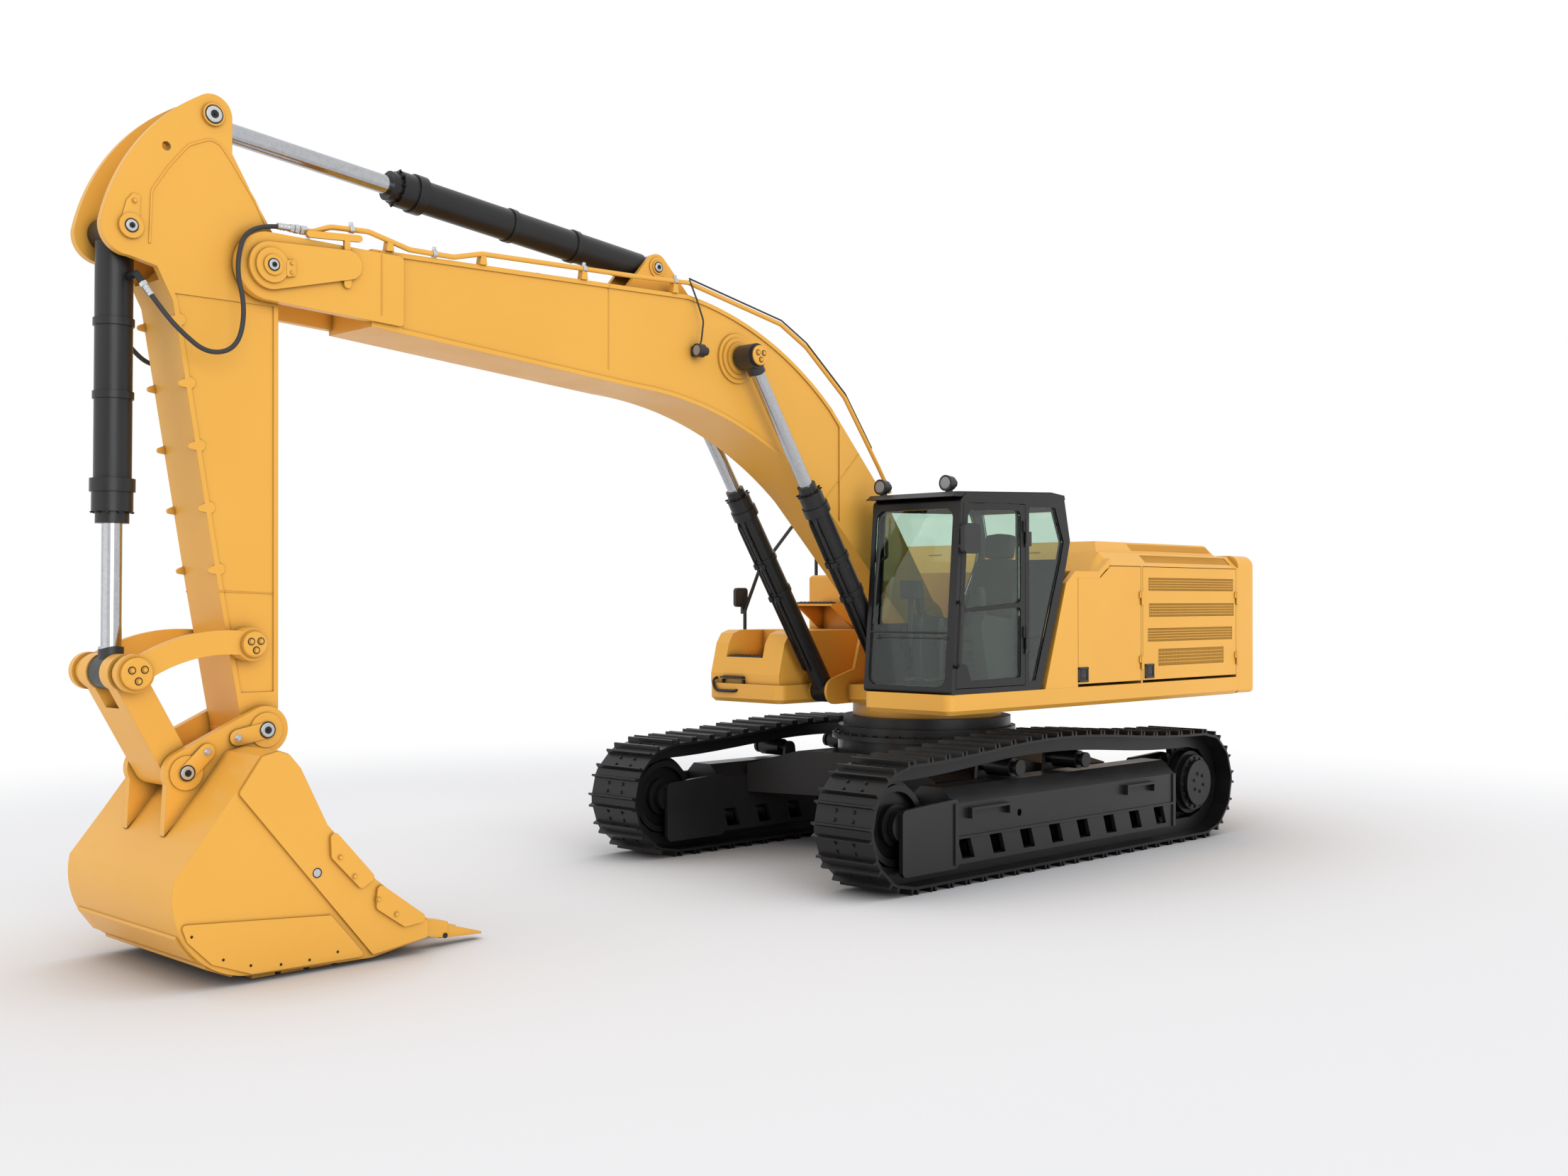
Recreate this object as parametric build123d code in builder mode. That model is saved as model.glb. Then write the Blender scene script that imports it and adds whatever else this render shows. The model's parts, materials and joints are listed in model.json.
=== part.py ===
"""Crawler excavator of the 50 tonne class, in millimetres.

+X points forwards, +Y to the operator's left and +Z up. Sizes below are
measured from the swing axis at ground level; the whole machine is then set
SWING_X along X, so that the origin lies under the middle of the parked length.
"""

import os
from math import cos, hypot, pi, radians, sin, tan

from build123d import *

os.makedirs("parts", exist_ok=True)

# Frame
SWING_X = -2050.0

# Fits
PIN_GAP = 0.08
SEAT_GAP = 0.3
RUN_GAP = 0.3

# Hinges
HINGE_OUT = 12.0
HINGE_RADIUS = 12.0
HINGE_LEAF = 34.0
HINGE_LENGTH = 60.0

# Tracks
TRACK_BASE = 4360.0
TRACK_GAUGE = 2740.0
SHOE_WIDTH = 600.0
SHOE_COUNT = 52
SHOE_FILL = 0.92
PITCH_RADIUS = 400.0
LINK_HALF = 62.0
SHOE_PLATE = 22.0
GROUSER_HEIGHT = 40.0
GROUSER_WIDTH = 30.0
LINK_WIDTH = 55.0
LINK_CENTRE = 95.0
CARRIER_LIFT = 90.0
CARRIER_X = (660.0, -310.0)
SAG_X = -1250.0
SAG_LIFT = 25.0
AXLE_Z = PITCH_RADIUS + LINK_HALF + SHOE_PLATE + GROUSER_HEIGHT
TRACK_Y = TRACK_GAUGE / 2
RAIL_RADIUS = PITCH_RADIUS - LINK_HALF

# Rollers and wheels
ROLLER_COUNT = 9
ROLLER_RADIUS = 95.0
ROLLER_HALF = 150.0
ROLLER_SHAFT = 45.0
ROLLER_FLANGE = 100.0
ROLLER_END_GAP = 117.0
FRAME_PLATE = 40.0
CHORD_SAG = 20.0
CARRIER_RADIUS = 80.0
CARRIER_HALF = 200.0
IDLER_HUB = 120.0
IDLER_HALF = 130.0
DISH_DEPTH = 55.0
DISH_OUTER = 265.0
DISH_INNER = 165.0
GUIDE_RADIUS = 362.0
GUIDE_HALF = 50.0
DRIVE_RADIUS = 300.0
DRIVE_OUT = 220.0
TOOTH_RIM = 30.0
SPROCKET_TEETH = 23
SPROCKET_TIP = 388.0
IDLER_RADIUS = RAIL_RADIUS - CHORD_SAG
ROLLER_SPAN = TRACK_BASE - 2 * (IDLER_RADIUS + ROLLER_RADIUS + ROLLER_END_GAP)

# Track frames and lower frame
FRAME_HALF = 240.0
FRAME_INNER = TRACK_Y - FRAME_HALF
FRAME_OUTER = TRACK_Y + FRAME_HALF
FRAME_LOW = 385.0
FRAME_SHOULDER = 650.0
FRAME_SLOPE = 130.0
FRAME_HIGH = 770.0
FRAME_COLLAR = 14.0
COLLAR_WIDTH = 45.0
WINDOW_HALF = 80.0
WINDOW_LEAN = 30.0
STEPS = ((904.0, 1428.0), (-1296.0, -834.0))
STEP_TOP = 610.0
STEP_DEPTH = 50.0
STEP_DROP = 88.0
STEP_PLATE = 22.0
DRAIN = (731.0, 505.0)
DRAIN_RADIUS = 30.0
FRAME_FRONT = 1600.0
FRAME_REAR = -1700.0
GUARD_FRONT = 2230.0
GUARD_LOW = 130.0
BODY_LOW = 500.0
BODY_HIGH = 900.0
BODY_SLOPE = 760.0
LEG_ROOT = 620.0
TOW_X = 1080.0
TOW_RADIUS = 100.0
TOW_Z = 700.0
TOW_HALF = 30.0
TOW_BORE = 45.0
TURRET_RADIUS = 830.0
TURRET_FLANGE = 885.0
TURRET_TOP = 1050.0
FLANGE_PLATE = 45.0
BEARING_RADIUS = 780.0
BEARING_TOP = 1215.0
RACE_RADIUS = 690.0

# Upper frame
DECK_LOW = 1340.0
DECK_TOP = 1510.0
UPPER_HALF = 1500.0
DECK_FRONT = 1510.0
DECK_RIGHT_FRONT = 1400.0
DECK_CORNER = 80.0
DECK_BEVEL = 36.0
HOUSE_REAR = -3090.0
TAIL_RADIUS = 3760.0
WELL_HALF = 545.0
WELL_REAR = 760.0
CHEEK_INNER = 300.0
CHEEK_OUTER = 330.0
EAR_PLATE = 15.0

# Pins in the side view
BOOM_FOOT = (346.0, 2084.0)
BOOM_NOSE = (6830.0, 4388.0)
LIFT_BASE = (930.0, 1455.0)
LIFT_ROD = (2726.0, 4234.0)
STICK_BASE = (3479.0, 4880.0)
STICK_TOP = (7170.0, 5287.0)
BUCKET_BASE = (7686.0, 4515.0)
STICK_NOSE = (6839.0, 1464.0)
LINK_STICK = (6956.0, 2006.0)
LINK_ROD = (7700.0, 1846.0)
LINK_BUCKET = (7363.0, 1232.0)

# Boom
BOOM_HALF = 275.0
BOOM_END = 6080.0
BOOM_CREST = (3250.0, 4680.0)
BOOM_SUNK = 12.0
BOOM_FIELD = (1500.0, 5850.0)
FLANGE_LIP = 32.0
LUG_LAP = 200.0
NOSE_INNER = 235.0
NOSE_LUG = 300.0
NOSE_OUTER = 330.0
NOSE_CAP = 18.0
NOSE_PIN_OUT = 30.0
NOSE_RADIUS = 215.0
NOSE_TAIL = (6280.0, 4470.0)
NOSE_PIN = 65.0
BRACKET_PLATE = 22.0
FOOT_PIN = 70.0
FOOT_RADIUS = 205.0
FOOT_HALF = 292.0
LIFT_BOSS = ((200.0, 281.0), (165.0, 296.0), (128.0, 318.0))
STICK_EAR_INNER = 120.0
STICK_EAR_OUTER = 160.0

# Pipes, lamp and hoses
PIPE_Y = 280.0
PIPE_RADIUS = 18.0
PIPE_BEND = 150.0
PIPE_ROUTE = (
    (846.0, 3235.0),
    (999.0, 3450.0),
    (1443.0, 4030.0),
    (1925.0, 4415.0),
    (2226.0, 4570.0),
    (3257.0, 4775.0),
    (3784.0, 4750.0),
    (5205.0, 4710.0),
    (5441.0, 4652.0),
    (5795.0, 4650.0),
    (6111.0, 4722.0),
    (6391.0, 4708.0),
    (6520.0, 4655.0),
    (6661.0, 4655.0),
)
PIPE_POSTS = ((3400.0, 4768.0), (4300.0, 4735.0), (5200.0, 4710.0), (5950.0, 4685.0))
POST_PLATE = 35.0
WORK_LAMP = (3180.0, 4243.0)
WORK_LAMP_Y = 340.0
WORK_LAMP_RADIUS = 52.0
WORK_LAMP_STEPS = (
    (34.0, -60.0, -20.0, Mode.ADD),
    (WORK_LAMP_RADIUS, -20.0, 50.0, Mode.ADD),
    (WORK_LAMP_RADIUS - 8.0, 42.0, 50.0, Mode.SUBTRACT),
)
HOSE_RADIUS = 15.0
HOSE_SHARE = 0.45
HOSE_ROUTE = (
    (6661.0 + SEAT_GAP, PIPE_Y, 4655.0),
    (6960.0, PIPE_Y, 4655.0),
    (7095.0, 370.0, 4350.0),
    (7040.0, 400.0, 4080.0),
    (7090.0, 400.0, 3830.0),
    (7280.0, 395.0, 3770.0),
    (7450.0, 370.0, 3900.0),
    (7550.0, 307.0, 4045.0),
    (7612.0, 235.0, 4180.0),
)
PORT = (7640.0, 4236.0)
PORT_RADIUS = 24.0
PORT_ROOT = 88.0
PORT_OUT = 206.0
FITTING_LENGTH = 75.0

# Stick
STICK_HALF = 220.0
STICK_PLATE = 55.0
STICK_SHOULDER = (7421.0, 4104.0)
STICK_SHIN = (7124.0, 2353.0)
STICK_SUNK = 8.0
STICK_FIELD = (1700.0, 4150.0)
STICK_EAR_HOLE = (7464.0, 5037.0)
STICK_NOSE_RADIUS = 125.0
STICK_PIN = 60.0
LINK_PIN = 60.0
CYLINDER_PIN = 55.0
PIN_BOSS = 22.0
RETAINER = 17.0
TAB_PLATE = 20.0
TAB_COUNT = 5
TAB_FIRST = 120.0
TAB_STEP = 380.0

# Links
IDLER_INNER = 295.0
IDLER_OUTER = 345.0
IDLER_BAND = 150.0
IDLER_BOW = 75.0
POWER_HALF = 215.0
POWER_BAND = 190.0
LINK_BOSS = 20.0
EYE_SLOT = 95.0

# Bucket
BUCKET_HALF = 735.0
BUCKET_SIDE = 35.0
LIP_X = 5943.0
LIP_TOP = 150.0
HEEL_LOW = (7167.0, 47.0)
EAR_INNER = 228.0
EAR_OUTER = 288.0
EAR_BOSS = 12.0
CUTTER_PLATE = 18.0
CUTTER = (
    (7256, 1133),
    (6353, 47),
    (5950, 100),
    (5950, 205),
    (6339, 523),
    (6674, 895),
    (6856, 1258),
    (6930, 1345),
    (7000, 1370),
    (7105, 1345),
)
WEAR_PLATE = 14.0
WEAR = ((7610, 405), (6646, 335), (6500, 165), (6400, 45), (7167, 55), (7420, 150), (7570, 300))
GUARD_PLATE = 40.0
SIDE_GUARDS = (
    ((6667, 895), (6342, 534), (6449, 472), (6657, 692)),
    ((6332, 505), (5935, 214), (6136, 194), (6342, 337)),
)
WEAR_BARS = (6420.0, 6610.0, 6800.0, 6990.0)
BAR_WIDTH = 150.0
BAR_HALF = 690.0
BAR_THICK = 16.0
HEEL_BARS = ((0.12, 0.3), (0.42, 0.6))
TOOTH_COUNT = 5
TOOTH_SPREAD = 600.0
TOOTH_WIDTH = 130.0
TIP_REAR = 5790.0
TIP_X = 5454.0
TIP_WIDTH = 72.0

# Cylinders
LIFT_Y = 430.0
LIFT_EYE = 82.0
LIFT_CAP = 26.0
LIFT_BARREL = 2120.0
LIFT_TUBE = 92.0
LIFT_SHAFT = 57.0
LIFT_TAIL = 1160.0
LIFT_BANDS = (0.5, 0.66)
STICK_EYE = 112.0
STICK_BARREL = 2330.0
STICK_TUBE = 115.0
STICK_SHAFT = 65.0
STICK_TAIL = 1620.0
STICK_BANDS = (0.3, 0.55)
BUCKET_EYE = 155.0
BUCKET_BARREL = 1770.0
BUCKET_TUBE = 110.0
BUCKET_SHAFT = 60.0
BUCKET_TAIL = 780.0
BUCKET_BANDS = (0.3, 0.55)
BAND_WIDTH = 45.0
BAND_EXTRA = 10.0
TUBE_WALL = 22.0
BASE_FLOOR = 60.0
GLAND = 90.0
HEAD_LENGTH = 270.0
HEAD_STEPS = ((270.0, 190.0, 22.0), (190.0, 70.0, 10.0), (70.0, 0.0, -12.0))
EYE_COLLAR = 50.0
COLLAR_EXTRA = 14.0

# Cab
CAB_INNER = 550.0
CAB_WALL = 60.0
PANE = 8.0

HALF_BASE = TRACK_BASE / 2
MACHINE = Plane(origin=(SWING_X, 0, 0))


def side(y):
    """Plane of the side view at y; sketches read (x, z) and extrude towards -Y."""
    return Plane(origin=(SWING_X, y, 0), x_dir=(1, 0, 0), z_dir=(0, -1, 0))


def level(z):
    """Plane seen from above at height z."""
    return Plane(origin=(SWING_X, 0, z), x_dir=(1, 0, 0), z_dir=(0, 0, 1))


def along(start, end, y):
    """Plane at a pin, facing along the line to another pin of the side view."""
    run = (end[0] - start[0], 0, end[1] - start[1])
    return Plane(origin=(SWING_X + start[0], y, start[1]), x_dir=(0, 1, 0), z_dir=run)


def between(start, end, distance):
    """Point of the side view at a distance from start towards end."""
    length = hypot(end[0] - start[0], end[1] - start[1])
    share = distance / length
    return (start[0] + share * (end[0] - start[0]), start[1] + share * (end[1] - start[1]))


def reach(start, end):
    """Distance between two pins of the side view."""
    return hypot(end[0] - start[0], end[1] - start[1])


def plate(points, y_low, y_high, mode=Mode.ADD):
    """Flat plate with a straight-edged outline in the side view."""
    with BuildSketch(side(y_high)) as outline:
        with BuildLine():
            Polyline(points, close=True)
        make_face()
    extrude(outline.sketch, amount=y_high - y_low, mode=mode)


def disc(centre, radius, y_low, y_high, mode=Mode.ADD):
    """Round boss, pin or bore across the machine."""
    with BuildSketch(side(y_high)) as outline:
        with Locations(centre):
            Circle(radius)
    extrude(outline.sketch, amount=y_high - y_low, mode=mode)


def web(circles, y_low, y_high, mode=Mode.ADD):
    """Plate wrapped round two or more circles, given as (centre, radius)."""
    with BuildSketch(side(y_high)) as outline:
        for centre, radius in circles:
            with Locations(centre):
                Circle(radius)
        make_hull()
    extrude(outline.sketch, amount=y_high - y_low, mode=mode)


def block(x_low, x_high, y_low, y_high, z_low, z_high, mode=Mode.ADD):
    """Rectangular block between two corners."""
    with Locations(((x_low + x_high) / 2, (y_low + y_high) / 2, (z_low + z_high) / 2)):
        Box(x_high - x_low, y_high - y_low, z_high - z_low, mode=mode)


def pair(sign, near, far):
    """Two distances from the middle plane on one side, as low and high y."""
    return min(sign * near, sign * far), max(sign * near, sign * far)


def front(x):
    """Plane seen from ahead at x; sketches read (y, z) and extrude forwards."""
    return Plane(origin=(SWING_X + x, 0, 0), x_dir=(0, 1, 0), z_dir=(1, 0, 0))


def bar(points, x_low, x_high, mode=Mode.ADD):
    """Straight bar whose outline is seen from ahead."""
    with BuildSketch(front(x_low)) as outline:
        with BuildLine():
            Polyline(points, close=True)
        make_face()
    extrude(outline.sketch, amount=x_high - x_low, mode=mode)


def panel(points, radius, y_low, y_high, mode=Mode.ADD):
    """Plate with a straight-edged outline and rounded corners."""
    with BuildSketch(side(y_high)) as outline:
        with BuildLine():
            Polyline(points, close=True)
        make_face()
        fillet(outline.vertices(), radius)
    extrude(outline.sketch, amount=y_high - y_low, mode=mode)


def ring(centre, outer, inner, y_low, y_high, mode=Mode.ADD):
    """Round collar or groove across the machine."""
    with BuildSketch(side(y_high)) as outline:
        with Locations(centre):
            Circle(outer)
            Circle(inner, mode=Mode.SUBTRACT)
    extrude(outline.sketch, amount=y_high - y_low, mode=mode)


def rail(points, y, radius, bend):
    """Round rail or pipe along a side-view route with eased bends."""
    with BuildLine(side(y)) as route:
        FilletPolyline(*points, radius=bend)
    with BuildSketch(Plane(origin=route.line @ 0, z_dir=route.line % 0)) as section:
        Circle(radius)
    sweep(section.sketch, path=route.wires()[0])


def upright(x, y, radius, z_low, z_high):
    """Round bar standing upright."""
    with BuildSketch(level(z_low)) as outline:
        with Locations((x, y)):
            Circle(radius)
    extrude(outline.sketch, amount=z_high - z_low)


def hinge(x, sign, face, leaf_end, z_low, z_high):
    """Hinge knuckle on an upright axis, with its leaf on an outer face."""
    axis = sign * (face + HINGE_OUT)
    upright(x, axis, HINGE_RADIUS, z_low, z_high)
    block(min(x, leaf_end), max(x, leaf_end), min(sign * face, axis), max(sign * face, axis), z_low, z_high)


def barrel(plane, length, radius, mode=Mode.ADD):
    """Round bar from a plane along its normal."""
    with BuildSketch(plane) as outline:
        Circle(radius)
    extrude(outline.sketch, amount=length, mode=mode)


def track_path():
    """Pitch line of a track in the side view, running clockwise from below the sprocket."""
    low = AXLE_Z - PITCH_RADIUS
    high = AXLE_Z + PITCH_RADIUS
    crown = [(x, high + CARRIER_LIFT) for x in CARRIER_X]
    with BuildLine(mode=Mode.PRIVATE) as loop:
        Line((-HALF_BASE, low), (HALF_BASE, low))
        ThreePointArc((HALF_BASE, low), (HALF_BASE + PITCH_RADIUS, AXLE_Z), (HALF_BASE, high))
        Spline(
            [(HALF_BASE, high), *crown, (SAG_X, high + SAG_LIFT), (-HALF_BASE, high)],
            tangents=[(-1, 0), (-1, 0)],
        )
        ThreePointArc((-HALF_BASE, high), (-HALF_BASE - PITCH_RADIUS, AXLE_Z), (-HALF_BASE, low))
    return loop.wire()


def shoe_points(profile):
    """Outline round the whole track, from one shoe's (along, outward) points between its pins."""
    path = track_path()
    pins = [path.position_at(index / SHOE_COUNT) for index in range(SHOE_COUNT)]
    points = []
    for first, second in zip(pins, pins[1:] + pins[:1]):
        place = (first + second) / 2
        course = (second - first).normalized()
        for step, out in profile:
            points.append((
                place.X + step * course.X + out * course.Y,
                place.Y + step * course.Y - out * course.X,
            ))
    return points


def rail_points(out):
    """Outline through the track's pins, moved outwards."""
    path = track_path()
    points = []
    for index in range(SHOE_COUNT):
        place = path.position_at(index / SHOE_COUNT)
        course = path.tangent_at(index / SHOE_COUNT)
        points.append((place.X + out * course.Y, place.Y - out * course.X))
    return points


SHOE_PITCH = track_path().length / SHOE_COUNT


def track(name, sign):
    """One track: link rails under plates with two grousers each."""
    half = SHOE_PITCH * SHOE_FILL / 2
    plate_top = LINK_HALF + SHOE_PLATE
    tip = plate_top + GROUSER_HEIGHT
    lean = GROUSER_WIDTH / 4
    outer = []
    for start in (-half, half - GROUSER_WIDTH):
        outer.append((start, plate_top))
        outer.append((start + lean, tip))
        outer.append((start + GROUSER_WIDTH - lean, tip))
        outer.append((start + GROUSER_WIDTH, plate_top))
    inner = [(-half, LINK_HALF), (half, LINK_HALF)]
    with BuildPart(MACHINE) as loop:
        with BuildSketch(side(sign * TRACK_Y + SHOE_WIDTH / 2)) as shoes:
            with BuildLine():
                Polyline(shoe_points(outer), close=True)
            make_face()
            with BuildLine():
                Polyline(shoe_points(inner), close=True)
            make_face(mode=Mode.SUBTRACT)
        extrude(amount=SHOE_WIDTH)
        for offset in (-LINK_CENTRE, LINK_CENTRE):
            rail_y = sign * TRACK_Y + offset + LINK_WIDTH / 2
            with BuildSketch(side(rail_y)) as rail:
                with BuildLine():
                    Polyline(rail_points(LINK_HALF + SHOE_PLATE / 2), close=True)
                make_face()
                with BuildLine():
                    Polyline(rail_points(-LINK_HALF), close=True)
                make_face(mode=Mode.SUBTRACT)
            extrude(amount=LINK_WIDTH)
    loop.part.label = name
    export_step(loop.part, f"parts/{name}.step")


track("track_left", 1)
track("track_right", -1)

# Idler wheels at the front of the tracks
SHAFT_HALF = FRAME_HALF - FRAME_PLATE - SEAT_GAP
with BuildPart(MACHINE) as idler_wheels:
    axle = (HALF_BASE, AXLE_Z)
    for sign in (1, -1):
        middle = sign * TRACK_Y
        disc(axle, IDLER_RADIUS, middle - IDLER_HALF, middle + IDLER_HALF)
        for edge in (-IDLER_HALF, IDLER_HALF - DISH_DEPTH):
            ring(axle, DISH_OUTER, DISH_INNER, middle + edge, middle + edge + DISH_DEPTH, Mode.SUBTRACT)
        disc(axle, GUIDE_RADIUS, middle - GUIDE_HALF, middle + GUIDE_HALF)
        disc(axle, IDLER_HUB, middle - SHAFT_HALF, middle + SHAFT_HALF)
idler_wheels.part.label = "idler_wheels"
export_step(idler_wheels.part, "parts/idler_wheels.step")


def toothed(centre, root, tip, count, y_low, y_high):
    """Rim with straight-sided teeth."""
    points = []
    for index in range(count):
        for radius, share in ((root, -0.42), (tip, -0.15), (tip, 0.15), (root, 0.42)):
            angle = 2 * pi * (index + share) / count
            points.append((centre[0] + radius * cos(angle), centre[1] + radius * sin(angle)))
    plate(points, y_low, y_high)


# Drive sprockets with their final drives
COVER_STEPS = ((DRIVE_RADIUS, 0.55), (DRIVE_RADIUS * 0.88, 0.8), (DRIVE_RADIUS * 0.72, 1.0))
with BuildPart(MACHINE) as drive_sprockets:
    axle = (-HALF_BASE, AXLE_Z)
    for sign in (1, -1):
        middle = sign * TRACK_Y
        toothed(axle, IDLER_RADIUS, SPROCKET_TIP, SPROCKET_TEETH, middle - TOOTH_RIM, middle + TOOTH_RIM)
        for radius, share in COVER_STEPS:
            disc(axle, radius, *pair(sign, TRACK_Y, TRACK_Y + DRIVE_OUT * share))
        disc(axle, DRIVE_RADIUS * 0.8, *pair(sign, TRACK_Y - SHAFT_HALF, TRACK_Y))
drive_sprockets.part.label = "drive_sprockets"
export_step(drive_sprockets.part, "parts/drive_sprockets.step")

# Bottom rollers on the lower run and carrier rollers under the upper run
ROLLER_Z = AXLE_Z - RAIL_RADIUS + ROLLER_RADIUS + SEAT_GAP
ROLLER_X = [ROLLER_SPAN * (index / (ROLLER_COUNT - 1) - 0.5) for index in range(ROLLER_COUNT)]
FLANGE_IN = LINK_CENTRE + LINK_WIDTH / 2 + 6
with BuildPart(MACHINE) as bottom_rollers:
    for sign in (1, -1):
        middle = sign * TRACK_Y
        for x in ROLLER_X:
            disc((x, ROLLER_Z), ROLLER_RADIUS, middle - ROLLER_HALF, middle + ROLLER_HALF)
            for edge in (-ROLLER_HALF, FLANGE_IN):
                disc((x, ROLLER_Z), ROLLER_FLANGE, middle + edge, middle + edge + ROLLER_HALF - FLANGE_IN)
            disc((x, ROLLER_Z), ROLLER_SHAFT, middle - SHAFT_HALF, middle + SHAFT_HALF)
bottom_rollers.part.label = "bottom_rollers"
export_step(bottom_rollers.part, "parts/bottom_rollers.step")

CARRIER_Z = AXLE_Z + RAIL_RADIUS + CARRIER_LIFT - CARRIER_RADIUS - 3
with BuildPart(MACHINE) as carrier_rollers:
    for sign in (1, -1):
        middle = sign * TRACK_Y
        for x in CARRIER_X:
            disc((x, CARRIER_Z), CARRIER_RADIUS, middle - IDLER_HALF, middle + IDLER_HALF)
            disc((x, CARRIER_Z), CARRIER_RADIUS * 0.6, middle - CARRIER_HALF, middle + CARRIER_HALF)
            cap = pair(sign, TRACK_Y + CARRIER_HALF - 30, TRACK_Y + CARRIER_HALF)
            disc((x, CARRIER_Z), CARRIER_RADIUS * 0.85, *cap)
carrier_rollers.part.label = "carrier_rollers"
export_step(carrier_rollers.part, "parts/carrier_rollers.step")


def track_frame(name, sign):
    """Side frame that carries one track's rollers, idler and final drive."""
    low, high = pair(sign, FRAME_INNER, FRAME_OUTER)
    with BuildPart(MACHINE) as frame:
        bar(
            [
                (low, FRAME_LOW),
                (high, FRAME_LOW),
                (high, FRAME_SHOULDER),
                (high - FRAME_SLOPE, FRAME_HIGH),
                (low + FRAME_SLOPE, FRAME_HIGH),
                (low, FRAME_SHOULDER),
            ],
            FRAME_REAR,
            FRAME_FRONT,
        )
        for edge in (low, high - FRAME_PLATE):
            panel(
                [
                    (FRAME_FRONT - 60, GUARD_LOW),
                    (GUARD_FRONT, GUARD_LOW),
                    (GUARD_FRONT, FRAME_SHOULDER),
                    (FRAME_FRONT - 60, FRAME_SHOULDER + 40),
                ],
                45,
                edge,
                edge + FRAME_PLATE,
            )
            block(FRAME_REAR, FRAME_FRONT, edge, edge + FRAME_PLATE, GUARD_LOW + 30, FRAME_LOW)
            for x in [(first + second) / 2 for first, second in zip(ROLLER_X, ROLLER_X[1:])]:
                plate(
                    [
                        (x - WINDOW_HALF - WINDOW_LEAN, GUARD_LOW + 70),
                        (x + WINDOW_HALF - WINDOW_LEAN, GUARD_LOW + 70),
                        (x + WINDOW_HALF + WINDOW_LEAN, FRAME_LOW - 20),
                        (x - WINDOW_HALF + WINDOW_LEAN, FRAME_LOW - 20),
                    ],
                    edge,
                    edge + FRAME_PLATE,
                    Mode.SUBTRACT,
                )
        collar = pair(sign, FRAME_OUTER, FRAME_OUTER + FRAME_COLLAR)
        for x in (FRAME_REAR, FRAME_FRONT - COLLAR_WIDTH):
            block(x, x + COLLAR_WIDTH, *collar, GUARD_LOW + 30, FRAME_SHOULDER)
        block(FRAME_REAR, FRAME_FRONT, *collar, FRAME_LOW - 20, FRAME_LOW)
        tread = pair(sign, FRAME_OUTER, FRAME_OUTER + STEP_DEPTH)
        for x_low, x_high in STEPS:
            block(x_low, x_high, *tread, STEP_TOP - STEP_PLATE, STEP_TOP)
            for x in (x_low, x_high - STEP_PLATE):
                block(x, x + STEP_PLATE, *tread, STEP_TOP - STEP_DROP, STEP_TOP)
        disc(DRAIN, DRAIN_RADIUS, *pair(sign, FRAME_OUTER - FRAME_PLATE, FRAME_OUTER), Mode.SUBTRACT)
        stand = pair(sign, TRACK_Y - CARRIER_HALF - SEAT_GAP - 30, TRACK_Y - CARRIER_HALF - SEAT_GAP)
        for x in CARRIER_X:
            root = FRAME_SHOULDER + 20
            web([((x, CARRIER_Z), 65), ((x - 80, root), 15), ((x + 80, root), 15)], *stand)
        web(
            [
                ((-HALF_BASE, AXLE_Z), DRIVE_RADIUS * 0.9),
                ((FRAME_REAR + 40, FRAME_LOW + 40), 40),
                ((FRAME_REAR + 40, FRAME_HIGH - 40), 40),
            ],
            *pair(sign, FRAME_INNER, FRAME_INNER + FRAME_PLATE),
        )
    frame.part.label = name
    export_step(frame.part, f"parts/{name}.step")


track_frame("track_frame_left", 1)
track_frame("track_frame_right", -1)

# Lower frame: a turret drum on four splayed legs with sloping tops
with BuildPart(MACHINE) as car_body:
    with BuildSketch(level(BODY_LOW)) as legs:
        for sx in (1, -1):
            for sy in (1, -1):
                with BuildLine():
                    Polyline(
                        [
                            (0, 0),
                            (sx * 900, 0),
                            (sx * 1250, sy * FRAME_INNER),
                            (sx * 550, sy * FRAME_INNER),
                            (0, sy * LEG_ROOT),
                        ],
                        close=True,
                    )
                make_face()
    extrude(amount=BODY_HIGH - BODY_LOW)
    for sign in (1, -1):
        bar(
            [
                (sign * LEG_ROOT, BODY_HIGH),
                (sign * FRAME_INNER, BODY_SLOPE),
                (sign * FRAME_INNER, BODY_HIGH + 1),
                (sign * LEG_ROOT, BODY_HIGH + 1),
            ],
            -HALF_BASE,
            HALF_BASE,
            Mode.SUBTRACT,
        )
    with BuildSketch(level(BODY_LOW)) as drum:
        Circle(TURRET_RADIUS)
    extrude(amount=TURRET_TOP - BODY_LOW)
    with BuildSketch(level(TURRET_TOP - FLANGE_PLATE)) as flange:
        Circle(TURRET_FLANGE)
    extrude(amount=FLANGE_PLATE)
    for sx in (1, -1):
        with BuildSketch(level(TOW_Z - TOW_HALF)) as tongue:
            with Locations((sx * 800, 0), (sx * TOW_X, 0)):
                Circle(TOW_RADIUS)
            make_hull()
        extrude(amount=2 * TOW_HALF)
        with BuildSketch(level(TOW_Z - TOW_HALF)) as eye:
            with Locations((sx * TOW_X, 0)):
                Circle(TOW_BORE)
        extrude(amount=2 * TOW_HALF, mode=Mode.SUBTRACT)
car_body.part.label = "car_body"
export_step(car_body.part, "parts/car_body.step")

# Lower race of the swing bearing
with BuildPart(MACHINE) as swing_bearing:
    with BuildSketch(level(TURRET_TOP)) as ring:
        Circle(BEARING_RADIUS)
        Circle(BEARING_RADIUS - 160, mode=Mode.SUBTRACT)
    extrude(amount=BEARING_TOP - TURRET_TOP)
    with BuildSketch(level(TURRET_TOP)) as foot:
        Circle(BEARING_RADIUS + 45)
        Circle(BEARING_RADIUS - 160, mode=Mode.SUBTRACT)
    extrude(amount=(BEARING_TOP - TURRET_TOP) * 0.45)
swing_bearing.part.label = "swing_bearing"
export_step(swing_bearing.part, "parts/swing_bearing.step")

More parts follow.
